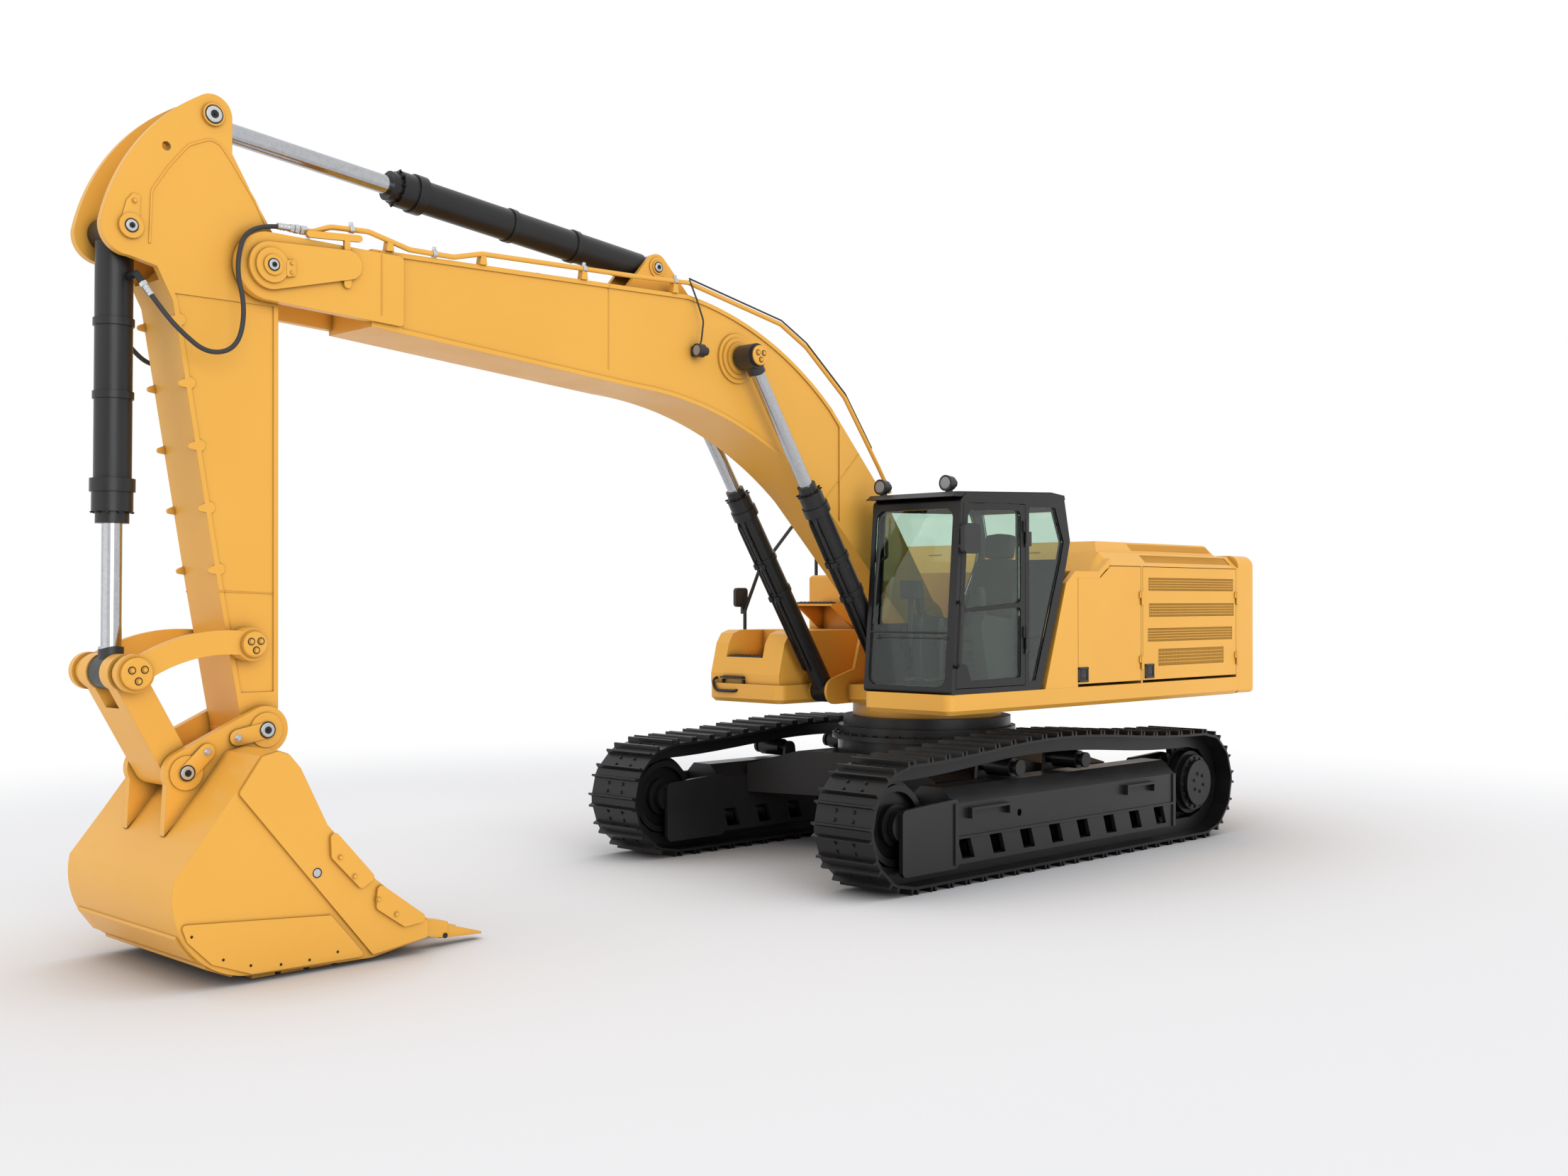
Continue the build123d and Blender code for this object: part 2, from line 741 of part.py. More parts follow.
# Main frame of the upper structure: deck, boom cheeks and upper race
with BuildPart(MACHINE) as main_frame:
    with BuildSketch(level(DECK_LOW)) as deck:
        with BuildLine():
            Polyline(
                [
                    (HOUSE_REAR, -UPPER_HALF),
                    (DECK_RIGHT_FRONT, -UPPER_HALF),
                    (DECK_RIGHT_FRONT, -WELL_HALF),
                    (WELL_REAR, -WELL_HALF),
                    (WELL_REAR, WELL_HALF),
                    (DECK_FRONT, WELL_HALF),
                    (DECK_FRONT, UPPER_HALF),
                    (HOUSE_REAR, UPPER_HALF),
                ],
                close=True,
            )
        make_face()
        fillet(deck.vertices().filter_by_position(Axis.X, DECK_RIGHT_FRONT, DECK_FRONT), DECK_CORNER)
    extrude(amount=DECK_TOP - DECK_LOW)
    chamfer(main_frame.faces().sort_by(Axis.Z)[0].edges(), DECK_BEVEL)
    with BuildSketch(level(BEARING_TOP + RUN_GAP)) as race:
        Circle(RACE_RADIUS)
        Circle(RACE_RADIUS - 120, mode=Mode.SUBTRACT)
    extrude(amount=DECK_LOW - BEARING_TOP - RUN_GAP)
    for sign in (1, -1):
        cheek = pair(sign, CHEEK_INNER, CHEEK_OUTER)
        web([(BOOM_FOOT, 190), ((-200, DECK_TOP - 20), 20), ((700, DECK_TOP - 20), 20)], *cheek)
        web([(LIFT_BASE, 120), ((620, DECK_LOW + 40), 40), ((300, DECK_TOP + 200), 40)], *cheek)
        disc(BOOM_FOOT, FOOT_PIN + 45, *pair(sign, CHEEK_OUTER, CHEEK_OUTER + 18))
        disc(LIFT_BASE, CYLINDER_PIN, *pair(sign, CHEEK_INNER, WELL_HALF))
        ear = pair(sign, WELL_HALF - EAR_PLATE, WELL_HALF)
        root = WELL_REAR - 40
        web([(LIFT_BASE, 100), ((root, DECK_LOW + 60), 15), ((root, DECK_TOP - 20), 15)], *ear)
    disc(BOOM_FOOT, FOOT_PIN, -CHEEK_OUTER, CHEEK_OUTER)
main_frame.part.label = "main_frame"
export_step(main_frame.part, "parts/main_frame.step")

# Counterweight, rounded on the tail radius
WEIGHT_LOW = 1345.0
WEIGHT_TOP = 2729.0
WEIGHT_CORNER = 150.0
WEIGHT_CROWN = 105.0
WEIGHT_FOOT = 40.0
with BuildPart(MACHINE) as counterweight:
    corner = -((TAIL_RADIUS**2 - UPPER_HALF**2) ** 0.5)
    with BuildSketch(level(WEIGHT_LOW)) as tail:
        with BuildLine():
            Polyline(
                [
                    (corner, -UPPER_HALF),
                    (HOUSE_REAR - SEAT_GAP, -UPPER_HALF),
                    (HOUSE_REAR - SEAT_GAP, UPPER_HALF),
                    (corner, UPPER_HALF),
                ]
            )
            ThreePointArc((corner, UPPER_HALF), (-TAIL_RADIUS, 0), (corner, -UPPER_HALF))
        make_face()
        fillet(tail.vertices().sort_by(Axis.X)[:2], WEIGHT_CORNER)
    extrude(amount=WEIGHT_TOP - WEIGHT_LOW)
    front_line = SWING_X + HOUSE_REAR - 5
    rim = counterweight.faces().sort_by(Axis.Z)[-1].edges()
    fillet(rim.filter_by(lambda edge: edge.center().X < front_line), WEIGHT_CROWN)
    rim = counterweight.faces().sort_by(Axis.Z)[0].edges()
    fillet(rim.filter_by(lambda edge: edge.center().X < front_line), WEIGHT_FOOT)
counterweight.part.label = "counterweight"
export_step(counterweight.part, "parts/counterweight.step")

# Engine house: bulkheads, posts, eaves and roof round the engine bay
HOUSE_FRONT = -245.0
HOUSE_STEP = -785.0
HOUSE_RISE = -614.0
HOUSE_TOP = 2720.0
HOUSE_LOW_TOP = 2540.0
HOUSE_SPLIT = -1320.0
ROOF = 60.0
EAVE = 2600.0
EAVE_SLOPE = HOUSE_TOP - EAVE
EAVE_DEPTH = 200.0
DOOR_THICK = 50.0
DOOR_LOW = 1536.0
DOOR_HIGH = EAVE - 10
DOOR_FRONT_HIGH = HOUSE_LOW_TOP - 60
DOOR_GAP = 5.5
BULKHEAD = 40.0
POST = 24.0
POST_LEAF = 20.0
LID_FRONT = -860.0
LID_REAR = -3000.0
LID_HALF = 1290.0
LID_TOP = 2830.0
LID_SLOPE = 90.0
LID_WALL = 40.0
BAY_FRONT = -960.0
BAY_REAR = -2900.0
BAY_HALF = 1100.0
LID_HINGE_Y = 600.0
LID_AXIS = (LID_FRONT - DOOR_GAP / 2, HOUSE_TOP + HINGE_OUT)
HINGE_LEVELS = (1700.0, 2300.0)
FRONT_DOOR = (HOUSE_SPLIT + POST / 2 + DOOR_GAP, HOUSE_FRONT - BULKHEAD - DOOR_GAP)
REAR_DOOR = (HOUSE_REAR + BULKHEAD + DOOR_GAP, HOUSE_SPLIT - POST / 2 - DOOR_GAP)
LOUVRES = (
    (-2990.0, -1430.0, 2370.0, 2490.0),
    (-3000.0, -1440.0, 2125.0, 2250.0),
    (-2970.0, -1420.0, 1893.0, 2017.0),
    (-2800.0, -1600.0, 1663.0, 1820.0),
)
LOUVRE_DEPTH = 16.0
LOUVRE_RIBS = 4
LOUVRE_RIB = 9.0
EAVE_LOUVRE = (2632.0, 2702.0)
with BuildPart(MACHINE) as engine_house:
    block(HOUSE_FRONT - BULKHEAD, HOUSE_FRONT, -UPPER_HALF, UPPER_HALF, DECK_TOP, HOUSE_LOW_TOP)
    block(HOUSE_REAR, HOUSE_REAR + BULKHEAD, -UPPER_HALF, UPPER_HALF, DECK_TOP, EAVE)
    block(HOUSE_SPLIT - POST / 2, HOUSE_SPLIT + POST / 2, -UPPER_HALF, UPPER_HALF, DECK_TOP, EAVE)
    roof_edge = UPPER_HALF - EAVE_SLOPE
    plate(
        [
            (HOUSE_RISE, HOUSE_LOW_TOP),
            (HOUSE_STEP, HOUSE_TOP),
            (HOUSE_REAR, HOUSE_TOP),
            (HOUSE_REAR, HOUSE_TOP - ROOF),
            (HOUSE_STEP - 20, HOUSE_TOP - ROOF),
            (HOUSE_RISE - 20, HOUSE_LOW_TOP - ROOF),
        ],
        -roof_edge,
        roof_edge,
    )
    block(HOUSE_RISE - 20, HOUSE_FRONT, -UPPER_HALF, UPPER_HALF, HOUSE_LOW_TOP - ROOF, HOUSE_LOW_TOP)
    for sign in (1, -1):
        bar(
            [
                (sign * UPPER_HALF, DOOR_HIGH + DOOR_GAP),
                (sign * UPPER_HALF, EAVE),
                (sign * roof_edge, HOUSE_TOP),
                (sign * (UPPER_HALF - EAVE_DEPTH), HOUSE_TOP),
                (sign * (UPPER_HALF - EAVE_DEPTH), HOUSE_TOP - ROOF),
                (sign * (UPPER_HALF - EAVE_DEPTH / 2), DOOR_HIGH + DOOR_GAP),
            ],
            HOUSE_REAR,
            HOUSE_STEP,
        )
        plate(
            [
                (HOUSE_FRONT, DOOR_FRONT_HIGH + DOOR_GAP),
                (HOUSE_FRONT, HOUSE_LOW_TOP),
                (HOUSE_RISE, HOUSE_LOW_TOP),
                (HOUSE_STEP, EAVE + 60),
                (HOUSE_STEP, DOOR_HIGH + DOOR_GAP),
                (HOUSE_RISE - 10, DOOR_FRONT_HIGH + DOOR_GAP),
            ],
            *pair(sign, UPPER_HALF - EAVE_DEPTH / 2, UPPER_HALF),
        )
        with BuildSketch(front(HOUSE_STEP)) as eave_end:
            with BuildLine():
                Polyline(
                    [
                        (sign * UPPER_HALF, EAVE),
                        (sign * roof_edge, HOUSE_TOP),
                        (sign * roof_edge, EAVE - 20),
                        (sign * UPPER_HALF, EAVE - 20),
                    ],
                    close=True,
                )
            make_face()
        with BuildSketch(front(HOUSE_RISE)) as step_end:
            with BuildLine():
                Polyline(
                    [
                        (sign * UPPER_HALF, HOUSE_LOW_TOP - 2),
                        (sign * roof_edge, HOUSE_LOW_TOP),
                        (sign * roof_edge, HOUSE_LOW_TOP - 30),
                        (sign * UPPER_HALF, HOUSE_LOW_TOP - 30),
                    ],
                    close=True,
                )
            make_face()
        loft([eave_end.sketch.face(), step_end.sketch.face()])
        z_low, z_high = EAVE_LOUVRE
        bar(
            [
                (sign * (UPPER_HALF - (z_low - EAVE) + 6), z_low + 6),
                (sign * (UPPER_HALF - (z_high - EAVE) + 6), z_high + 6),
                (sign * (UPPER_HALF - (z_high - EAVE) - 6), z_high - 6),
                (sign * (UPPER_HALF - (z_low - EAVE) - 6), z_low - 6),
            ],
            LOUVRES[0][0],
            LOUVRES[0][1],
            Mode.SUBTRACT,
        )
    block(BAY_REAR, BAY_FRONT, -BAY_HALF, BAY_HALF, HOUSE_TOP - 2 * ROOF, HOUSE_TOP + 50, mode=Mode.SUBTRACT)
    plate(
        [(205, DECK_TOP), (-105, 2430), (HOUSE_FRONT, HOUSE_LOW_TOP), (HOUSE_FRONT, DECK_TOP)],
        UPPER_HALF - DOOR_THICK,
        UPPER_HALF,
    )
    for sign in (1, -1):
        for x, leaf in ((FRONT_DOOR[0] - DOOR_GAP / 2, POST_LEAF), (REAR_DOOR[0] - DOOR_GAP / 2, HINGE_LEAF)):
            for z in HINGE_LEVELS:
                hinge(x, sign, UPPER_HALF, x - leaf, z - HINGE_LENGTH, z)
        y = sign * LID_HINGE_Y
        disc(LID_AXIS, HINGE_RADIUS, y - HINGE_LENGTH, y)
        block(LID_AXIS[0], LID_AXIS[0] + HINGE_LEAF, y - HINGE_LENGTH, y, HOUSE_TOP, LID_AXIS[1])
engine_house.part.label = "engine_house"
export_step(engine_house.part, "parts/engine_house.step")

# Engine, one block on the deck
with BuildPart(MACHINE) as engine_block:
    block(-2650, -1550, -600, 600, DECK_TOP, DECK_TOP + 850)
engine_block.part.label = "engine_block"
export_step(engine_block.part, "parts/engine_block.step")



def crown(x_low, x_high, half, z_low, z_high, mode):
    """Shallow crown with sloping sides."""
    middle = (x_low + x_high) / 2
    with BuildSketch(level(z_low)) as rim:
        with Locations((middle, 0)):
            Rectangle(x_high - x_low, 2 * half)
    with BuildSketch(level(z_high)) as top:
        with Locations((middle - LID_SLOPE / 3, 0)):
            Rectangle(x_high - x_low - 2 * LID_SLOPE, 2 * (half - LID_SLOPE))
    loft([rim.sketch.face(), top.sketch.face()], mode=mode)


# Engine hood: a crowned lid over the bay
with BuildPart(MACHINE) as engine_hood:
    lid_low = HOUSE_TOP + SEAT_GAP
    lid_front = LID_AXIS[0] - HINGE_RADIUS - DOOR_GAP / 2
    crown(LID_REAR, lid_front, LID_HALF, lid_low, LID_TOP, Mode.ADD)
    inner_half = LID_HALF - LID_WALL
    crown(LID_REAR + LID_WALL, lid_front - LID_WALL, inner_half, lid_low, LID_TOP - LID_WALL, Mode.SUBTRACT)
    for sign in (1, -1):
        y = sign * LID_HINGE_Y + SEAT_GAP
        disc(LID_AXIS, HINGE_RADIUS, y, y + HINGE_LENGTH)
        block(LID_AXIS[0] - HINGE_LEAF, LID_AXIS[0], y, y + HINGE_LENGTH, lid_low, LID_AXIS[1])
engine_hood.part.label = "engine_hood"
export_step(engine_hood.part, "parts/engine_hood.step")


def house_door(name, sign, outline, louvres):
    """Flush door in the side of the engine house, hinged at its rear edge."""
    x_low = outline[0][0]
    with BuildPart(MACHINE) as door:
        plate(outline, *pair(sign, UPPER_HALF - DOOR_THICK, UPPER_HALF))
        for x, x_end, z_low, z_high in louvres:
            block(x, x_end, *pair(sign, UPPER_HALF - LOUVRE_DEPTH, UPPER_HALF), z_low, z_high, Mode.SUBTRACT)
            for index in range(LOUVRE_RIBS):
                z = z_low + (z_high - z_low) * (index + 1) / (LOUVRE_RIBS + 1)
                rib = pair(sign, UPPER_HALF - LOUVRE_DEPTH, UPPER_HALF - 3)
                block(x, x_end, *rib, z - LOUVRE_RIB / 2, z + LOUVRE_RIB / 2)
        for z in HINGE_LEVELS:
            hinge(x_low - DOOR_GAP / 2, sign, UPPER_HALF, x_low + HINGE_LEAF, z + SEAT_GAP, z + HINGE_LENGTH)
    door.part.label = name
    export_step(door.part, f"parts/{name}.step")


FRONT_OUTLINE = [
    (FRONT_DOOR[0], DOOR_LOW),
    (FRONT_DOOR[1], DOOR_LOW),
    (FRONT_DOOR[1], DOOR_FRONT_HIGH),
    (HOUSE_RISE - 20, DOOR_FRONT_HIGH),
    (HOUSE_STEP - 20, DOOR_HIGH),
    (FRONT_DOOR[0], DOOR_HIGH),
]
REAR_OUTLINE = [
    (REAR_DOOR[0], DOOR_LOW),
    (REAR_DOOR[1], DOOR_LOW),
    (REAR_DOOR[1], DOOR_HIGH),
    (REAR_DOOR[0], DOOR_HIGH),
]
house_door("left_front_door", 1, FRONT_OUTLINE, ())
house_door("left_rear_door", 1, REAR_OUTLINE, LOUVRES)
house_door("right_front_door", -1, FRONT_OUTLINE, ())
house_door("right_rear_door", -1, REAR_OUTLINE, LOUVRES)

# Fuel tank and tool box on the right
TANK_INNER = -600.0
TANK_REAR = HOUSE_FRONT + SEAT_GAP
TANK_FRONT = 20.0
TANK_TOP = 2530.0
TANK_EDGE = 40.0
BOX_TOP = 2000.0
BOX_NOSE = DECK_RIGHT_FRONT - DECK_CORNER / 2
STEP_LOW = -1330.0
STEP_HIGH = -850.0
BOX_STEP = 1752.0
TANK_STEP = 2249.0
with BuildPart(MACHINE) as fuel_tank:
    block(TANK_REAR, TANK_FRONT, -UPPER_HALF, TANK_INNER, DECK_TOP, TANK_TOP)
    fillet(fuel_tank.faces().sort_by(Axis.Z)[-1].edges(), TANK_EDGE)
    with BuildSketch(level(TANK_TOP - 10)) as filler:
        with Locations((TANK_FRONT - 130, TANK_INNER - 220)):
            Circle(70)
    extrude(amount=45)
fuel_tank.part.label = "fuel_tank"
export_step(fuel_tank.part, "parts/fuel_tank.step")

with BuildPart(MACHINE) as tool_box:
    plate(
        [
            (TANK_FRONT, DECK_TOP),
            (BOX_NOSE, DECK_TOP),
            (BOX_NOSE, DECK_TOP + 90),
            (BOX_NOSE - 70, 1880),
            (BOX_NOSE - 130, 1970),
            (BOX_NOSE - 220, BOX_TOP),
            (TANK_FRONT, BOX_TOP),
        ],
        -UPPER_HALF,
        TANK_INNER,
    )
    block(840, BOX_NOSE + 1, STEP_LOW, STEP_HIGH, BOX_STEP, BOX_TOP + 1, Mode.SUBTRACT)
    for y in (STEP_LOW, STEP_HIGH - 20):
        heel = TANK_FRONT + 15
        web([((heel, TANK_STEP - 30), 15), ((380, TANK_STEP - 15), 15), ((heel, BOX_TOP), 15)], y, y + 20)
    block(TANK_FRONT, 390, STEP_LOW, STEP_HIGH, TANK_STEP - 24, TANK_STEP)
tool_box.part.label = "tool_box"
export_step(tool_box.part, "parts/tool_box.step")

# Handrail beside the steps
HANDRAIL_RADIUS = 17.0
RAIL_STAND = 40.0
RAIL_Y = -UPPER_HALF - RAIL_STAND
RAIL_ROUTE = ((880, 1590), (880, 2180), (690, 2565), (220, 3020), (-120, 3020), (-120, 2420))
RAIL_FEET = ((880, 1610), (880, 1940), (-120, 2440))
with BuildPart(MACHINE) as handrail:
    rail(RAIL_ROUTE, RAIL_Y, HANDRAIL_RADIUS, 90)
    for foot in RAIL_FEET:
        disc(foot, HANDRAIL_RADIUS * 0.9, RAIL_Y, -UPPER_HALF - SEAT_GAP)
handrail.part.label = "handrail"
export_step(handrail.part, "parts/handrail.step")

# Cab shell
CAB_SIDE = [
    (DECK_FRONT - 10, DECK_TOP),
    (1372, 3100),
    (1300, 3160),
    (100, 3200),
    (-75, 3180),
    (-165, 2800),
    (-105, 2585),
    (275, DECK_TOP),
]
CAB_ROOF = [(1479, 3125), (1415, 3168), (112, 3218), (-88, 3198), (-98, 3160), (100, 3178), (1300, 3130)]
DOOR_REAR = 500.0
CAB_DOOR = [(DOOR_REAR, 1560), (1440, 1560), (1425, 1767), (1330, 3075), (DOOR_REAR, 3095)]
UPPER_DOOR_PANE = [(560, 2260), (1330, 2215), (1275, 3020), (560, 3040)]
LOWER_DOOR_PANE = [(560, 1625), (1235, 1615), (1290, 1745), (1362, 1760), (1333, 2180), (560, 2220)]
QUARTER = [(440, 1590), (440, 3075), (60, 3085), (-70, 2790), (-15, 2600), (350, 1590)]
RIGHT_PANE = [(300, 2080), (1330, 2080), (1275, 3030), (60, 3060), (-60, 2790), (-5, 2600)]
REAR_PANE = (2640.0, 3060.0)
FRONT_PANE_SPAN = (60.0, 1530.0)
PANE_SPLIT = 505.0
SPLIT_BAR = 14.0
PANE_CORNER = 85.0
PANE_DEPTH = 16.0
CAB_OUTER = UPPER_HALF
CAB_HINGES = (1960.0, 2860.0)
CAB_HINGE_LENGTH = 95.0
CAB_AXIS = DOOR_REAR - DOOR_GAP / 2
PANE_LOW = CAB_INNER + 45
PANE_HIGH = CAB_OUTER - 75


def inset(points, amount, y_low, y_high, mode, radius=0):
    """Plate with the outline drawn in by an amount, its corners rounded if asked."""
    with BuildSketch(side(y_high)) as outline:
        with BuildLine():
            Polyline(points, close=True)
        make_face()
        if radius:
            fillet(outline.vertices(), radius)
        offset(amount=-amount, kind=Kind.INTERSECTION, mode=Mode.REPLACE)
    extrude(outline.sketch, amount=y_high - y_low, mode=mode)


def cab_front(depth):
    """Plane on the sloping front of the cab at a depth; sketches read (y, distance up the slope)."""
    low, high = CAB_SIDE[0], CAB_SIDE[1]
    length = reach(low, high)
    back = (high[0] - low[0]) / length
    up = (high[1] - low[1]) / length
    return Plane(
        origin=(SWING_X + low[0] - depth * up, 0, low[1] + depth * back),
        x_dir=(0, 1, 0),
        z_dir=(up, 0, -back),
    )


def front_pane(amount, near, thickness, mode, split):
    """Rounded opening or pane in the cab's front, drawn in by an amount."""
    low, high = FRONT_PANE_SPAN
    with BuildSketch(cab_front(near + thickness)) as outline:
        with Locations(((PANE_LOW + PANE_HIGH) / 2, (low + high) / 2)):
            RectangleRounded(PANE_HIGH - PANE_LOW - 2 * amount, high - low - 2 * amount, PANE_CORNER - amount)
        if split:
            with Locations(((PANE_LOW + PANE_HIGH) / 2, PANE_SPLIT)):
                Rectangle(PANE_HIGH - PANE_LOW, SPLIT_BAR + 2 * amount, mode=Mode.SUBTRACT)
    extrude(outline.sketch, amount=thickness, mode=mode)


def rear_pane(near, thickness, amount, mode):
    """Bent strip along the cab's rear wall."""
    with BuildSketch(side(PANE_HIGH - amount)) as outline:
        with BuildLine():
            Polyline(CAB_SIDE, close=True)
        make_face()
        offset(amount=-near, kind=Kind.INTERSECTION, mode=Mode.REPLACE)
        with BuildSketch(side(PANE_HIGH - amount), mode=Mode.SUBTRACT):
            with BuildLine():
                Polyline(CAB_SIDE, close=True)
            make_face()
            offset(amount=-near - thickness, kind=Kind.INTERSECTION, mode=Mode.REPLACE)
        with Locations((-100, (REAR_PANE[0] + REAR_PANE[1]) / 2)):
            Rectangle(400, REAR_PANE[1] - REAR_PANE[0] - 2 * amount, mode=Mode.INTERSECT)
    extrude(outline.sketch, amount=PANE_HIGH - PANE_LOW - 2 * amount, mode=mode)


with BuildPart(MACHINE) as cab_shell:
    panel(CAB_SIDE, 30, CAB_INNER, CAB_OUTER)
    inset(CAB_SIDE, CAB_WALL, CAB_INNER + CAB_WALL, CAB_OUTER - CAB_WALL, Mode.SUBTRACT)
    plate(CAB_ROOF, CAB_INNER + 5, CAB_OUTER - 5)
    inset(CAB_DOOR, -DOOR_GAP, CAB_OUTER - CAB_WALL - 1, CAB_OUTER + 1, Mode.SUBTRACT)
    panel(QUARTER, 25, CAB_OUTER - CAB_WALL - 1, CAB_OUTER + 1, Mode.SUBTRACT)
    panel(RIGHT_PANE, 35, CAB_INNER - 1, CAB_INNER + CAB_WALL + 1, Mode.SUBTRACT)
    front_pane(0, -60, CAB_WALL + 100, Mode.SUBTRACT, True)
    block(-300, 100, PANE_LOW, PANE_HIGH, *REAR_PANE, Mode.SUBTRACT)
    for z in CAB_HINGES:
        hinge(CAB_AXIS, 1, CAB_OUTER, CAB_AXIS - HINGE_LEAF, z - CAB_HINGE_LENGTH, z)
cab_shell.part.label = "cab_shell"
export_step(cab_shell.part, "parts/cab_shell.step")

with BuildPart(MACHINE) as cab_glass:
    front_pane(SEAT_GAP, PANE_DEPTH, PANE, Mode.ADD, True)
    inset(QUARTER, SEAT_GAP, CAB_OUTER - PANE_DEPTH - PANE, CAB_OUTER - PANE_DEPTH, Mode.ADD, 25)
    inset(RIGHT_PANE, SEAT_GAP, CAB_INNER + PANE_DEPTH, CAB_INNER + PANE_DEPTH + PANE, Mode.ADD, 35)
    rear_pane(PANE_DEPTH, PANE, SEAT_GAP, Mode.ADD)
cab_glass.part.label = "cab_glass"
export_step(cab_glass.part, "parts/cab_glass.step")

with BuildPart(MACHINE) as cab_door:
    plate(CAB_DOOR, CAB_OUTER - CAB_WALL, CAB_OUTER)
    panel(UPPER_DOOR_PANE, 45, CAB_OUTER - CAB_WALL - 1, CAB_OUTER + 1, Mode.SUBTRACT)
    panel(LOWER_DOOR_PANE, 30, CAB_OUTER - CAB_WALL - 1, CAB_OUTER + 1, Mode.SUBTRACT)
    for z in CAB_HINGES:
        hinge(CAB_AXIS, 1, CAB_OUTER, DOOR_REAR + HINGE_LEAF, z + SEAT_GAP, z + CAB_HINGE_LENGTH)
cab_door.part.label = "cab_door"
export_step(cab_door.part, "parts/cab_door.step")

with BuildPart(MACHINE) as cab_door_glass:
    inset(UPPER_DOOR_PANE, SEAT_GAP, CAB_OUTER - PANE_DEPTH - PANE, CAB_OUTER - PANE_DEPTH, Mode.ADD, 45)
    inset(LOWER_DOOR_PANE, SEAT_GAP, CAB_OUTER - PANE_DEPTH - PANE, CAB_OUTER - PANE_DEPTH, Mode.ADD, 30)
cab_door_glass.part.label = "cab_door_glass"
export_step(cab_door_glass.part, "parts/cab_door_glass.step")

# Mirrors on the cab post and on the handrail
MIRROR = [(1245, 2660), (1455, 2660), (1455, 2905), (1245, 2905)]
MIRROR_OUT = 62.0
MIRROR_THICK = 45.0
SIDE_MIRROR = [(800, 2215), (960, 2215), (960, 2400), (800, 2400)]
with BuildPart(MACHINE) as mirrors:
    panel(MIRROR, 40, CAB_OUTER + MIRROR_OUT, CAB_OUTER + MIRROR_OUT + MIRROR_THICK)
    disc((1385, 2870), 14, CAB_OUTER + SEAT_GAP, CAB_OUTER + MIRROR_OUT + 10)
    disc((1400, 2720), 14, CAB_OUTER + SEAT_GAP, CAB_OUTER + MIRROR_OUT + 10)
    mount_y = RAIL_Y - HANDRAIL_RADIUS - SEAT_GAP
    panel(SIDE_MIRROR, 35, mount_y - 60, mount_y - 25)
    web([((880, 2160), 12), ((880, 2240), 12)], mount_y - 30, mount_y)
mirrors.part.label = "mirrors"
export_step(mirrors.part, "parts/mirrors.step")

# Work lamps on the cab roof
LAMP_RADIUS = 58.0
LAMP_X = 1330.0
LAMP_Z = 3245.0
LAMP_Y = (615.0, 1330.0)


def roof(x):
    """Height at which a piece stands on the cab roof."""
    near, far = CAB_ROOF[1], CAB_ROOF[2]
    return near[1] + (near[0] - x) * (far[1] - near[1]) / (near[0] - far[0]) + SEAT_GAP


with BuildPart(MACHINE) as roof_lamps:
    for y in LAMP_Y:
        with BuildSketch(front(LAMP_X - 45)) as lamp:
            with Locations((y, LAMP_Z)):
                Circle(LAMP_RADIUS)
        extrude(amount=80, taper=-6)
        with BuildSketch(front(LAMP_X - 85)) as back:
            with Locations((y, LAMP_Z)):
                Circle(LAMP_RADIUS * 0.6)
        extrude(amount=50)
        plate(
            [
                (LAMP_X - 40, roof(LAMP_X - 40)),
                (LAMP_X + 10, roof(LAMP_X + 10)),
                (LAMP_X + 5, LAMP_Z),
                (LAMP_X - 35, LAMP_Z),
            ],
            y - 20,
            y + 20,
        )
roof_lamps.part.label = "roof_lamps"
export_step(roof_lamps.part, "parts/roof_lamps.step")

# Operator's seat and consoles
CAB_FLOOR = DECK_TOP + CAB_WALL
CAB_MIDDLE = (CAB_INNER + CAB_OUTER) / 2
CONSOLE_WIDTH = 120.0
CONSOLE_GAP = 20.0
SEAT_CLEAR = 25.0
CONSOLE_OUTER = (CAB_OUTER - CAB_INNER) / 2 - CAB_WALL - CONSOLE_GAP
SEAT_SIDE = CONSOLE_OUTER - CONSOLE_WIDTH - SEAT_CLEAR
with BuildPart(MACHINE) as cab_seat:
    block(360, 760, CAB_MIDDLE - SEAT_SIDE + 40, CAB_MIDDLE + SEAT_SIDE - 40, CAB_FLOOR, CAB_FLOOR + 340)
    panel(
        [(300, CAB_FLOOR + 330), (840, CAB_FLOOR + 350), (840, CAB_FLOOR + 480), (300, CAB_FLOOR + 440)],
        50,
        CAB_MIDDLE - SEAT_SIDE,
        CAB_MIDDLE + SEAT_SIDE,
    )
    panel(
        [(290, CAB_FLOOR + 380), (430, CAB_FLOOR + 430), (310, CAB_FLOOR + 1090), (180, CAB_FLOOR + 1060)],
        50,
        CAB_MIDDLE - SEAT_SIDE + 10,
        CAB_MIDDLE + SEAT_SIDE - 10,
    )
    panel(
        [(190, CAB_FLOOR + 1050), (290, CAB_FLOOR + 1060), (260, CAB_FLOOR + 1300), (160, CAB_FLOOR + 1290)],
        45,
        CAB_MIDDLE - SEAT_SIDE + 110,
        CAB_MIDDLE + SEAT_SIDE - 110,
    )
cab_seat.part.label = "cab_seat"
export_step(cab_seat.part, "parts/cab_seat.step")

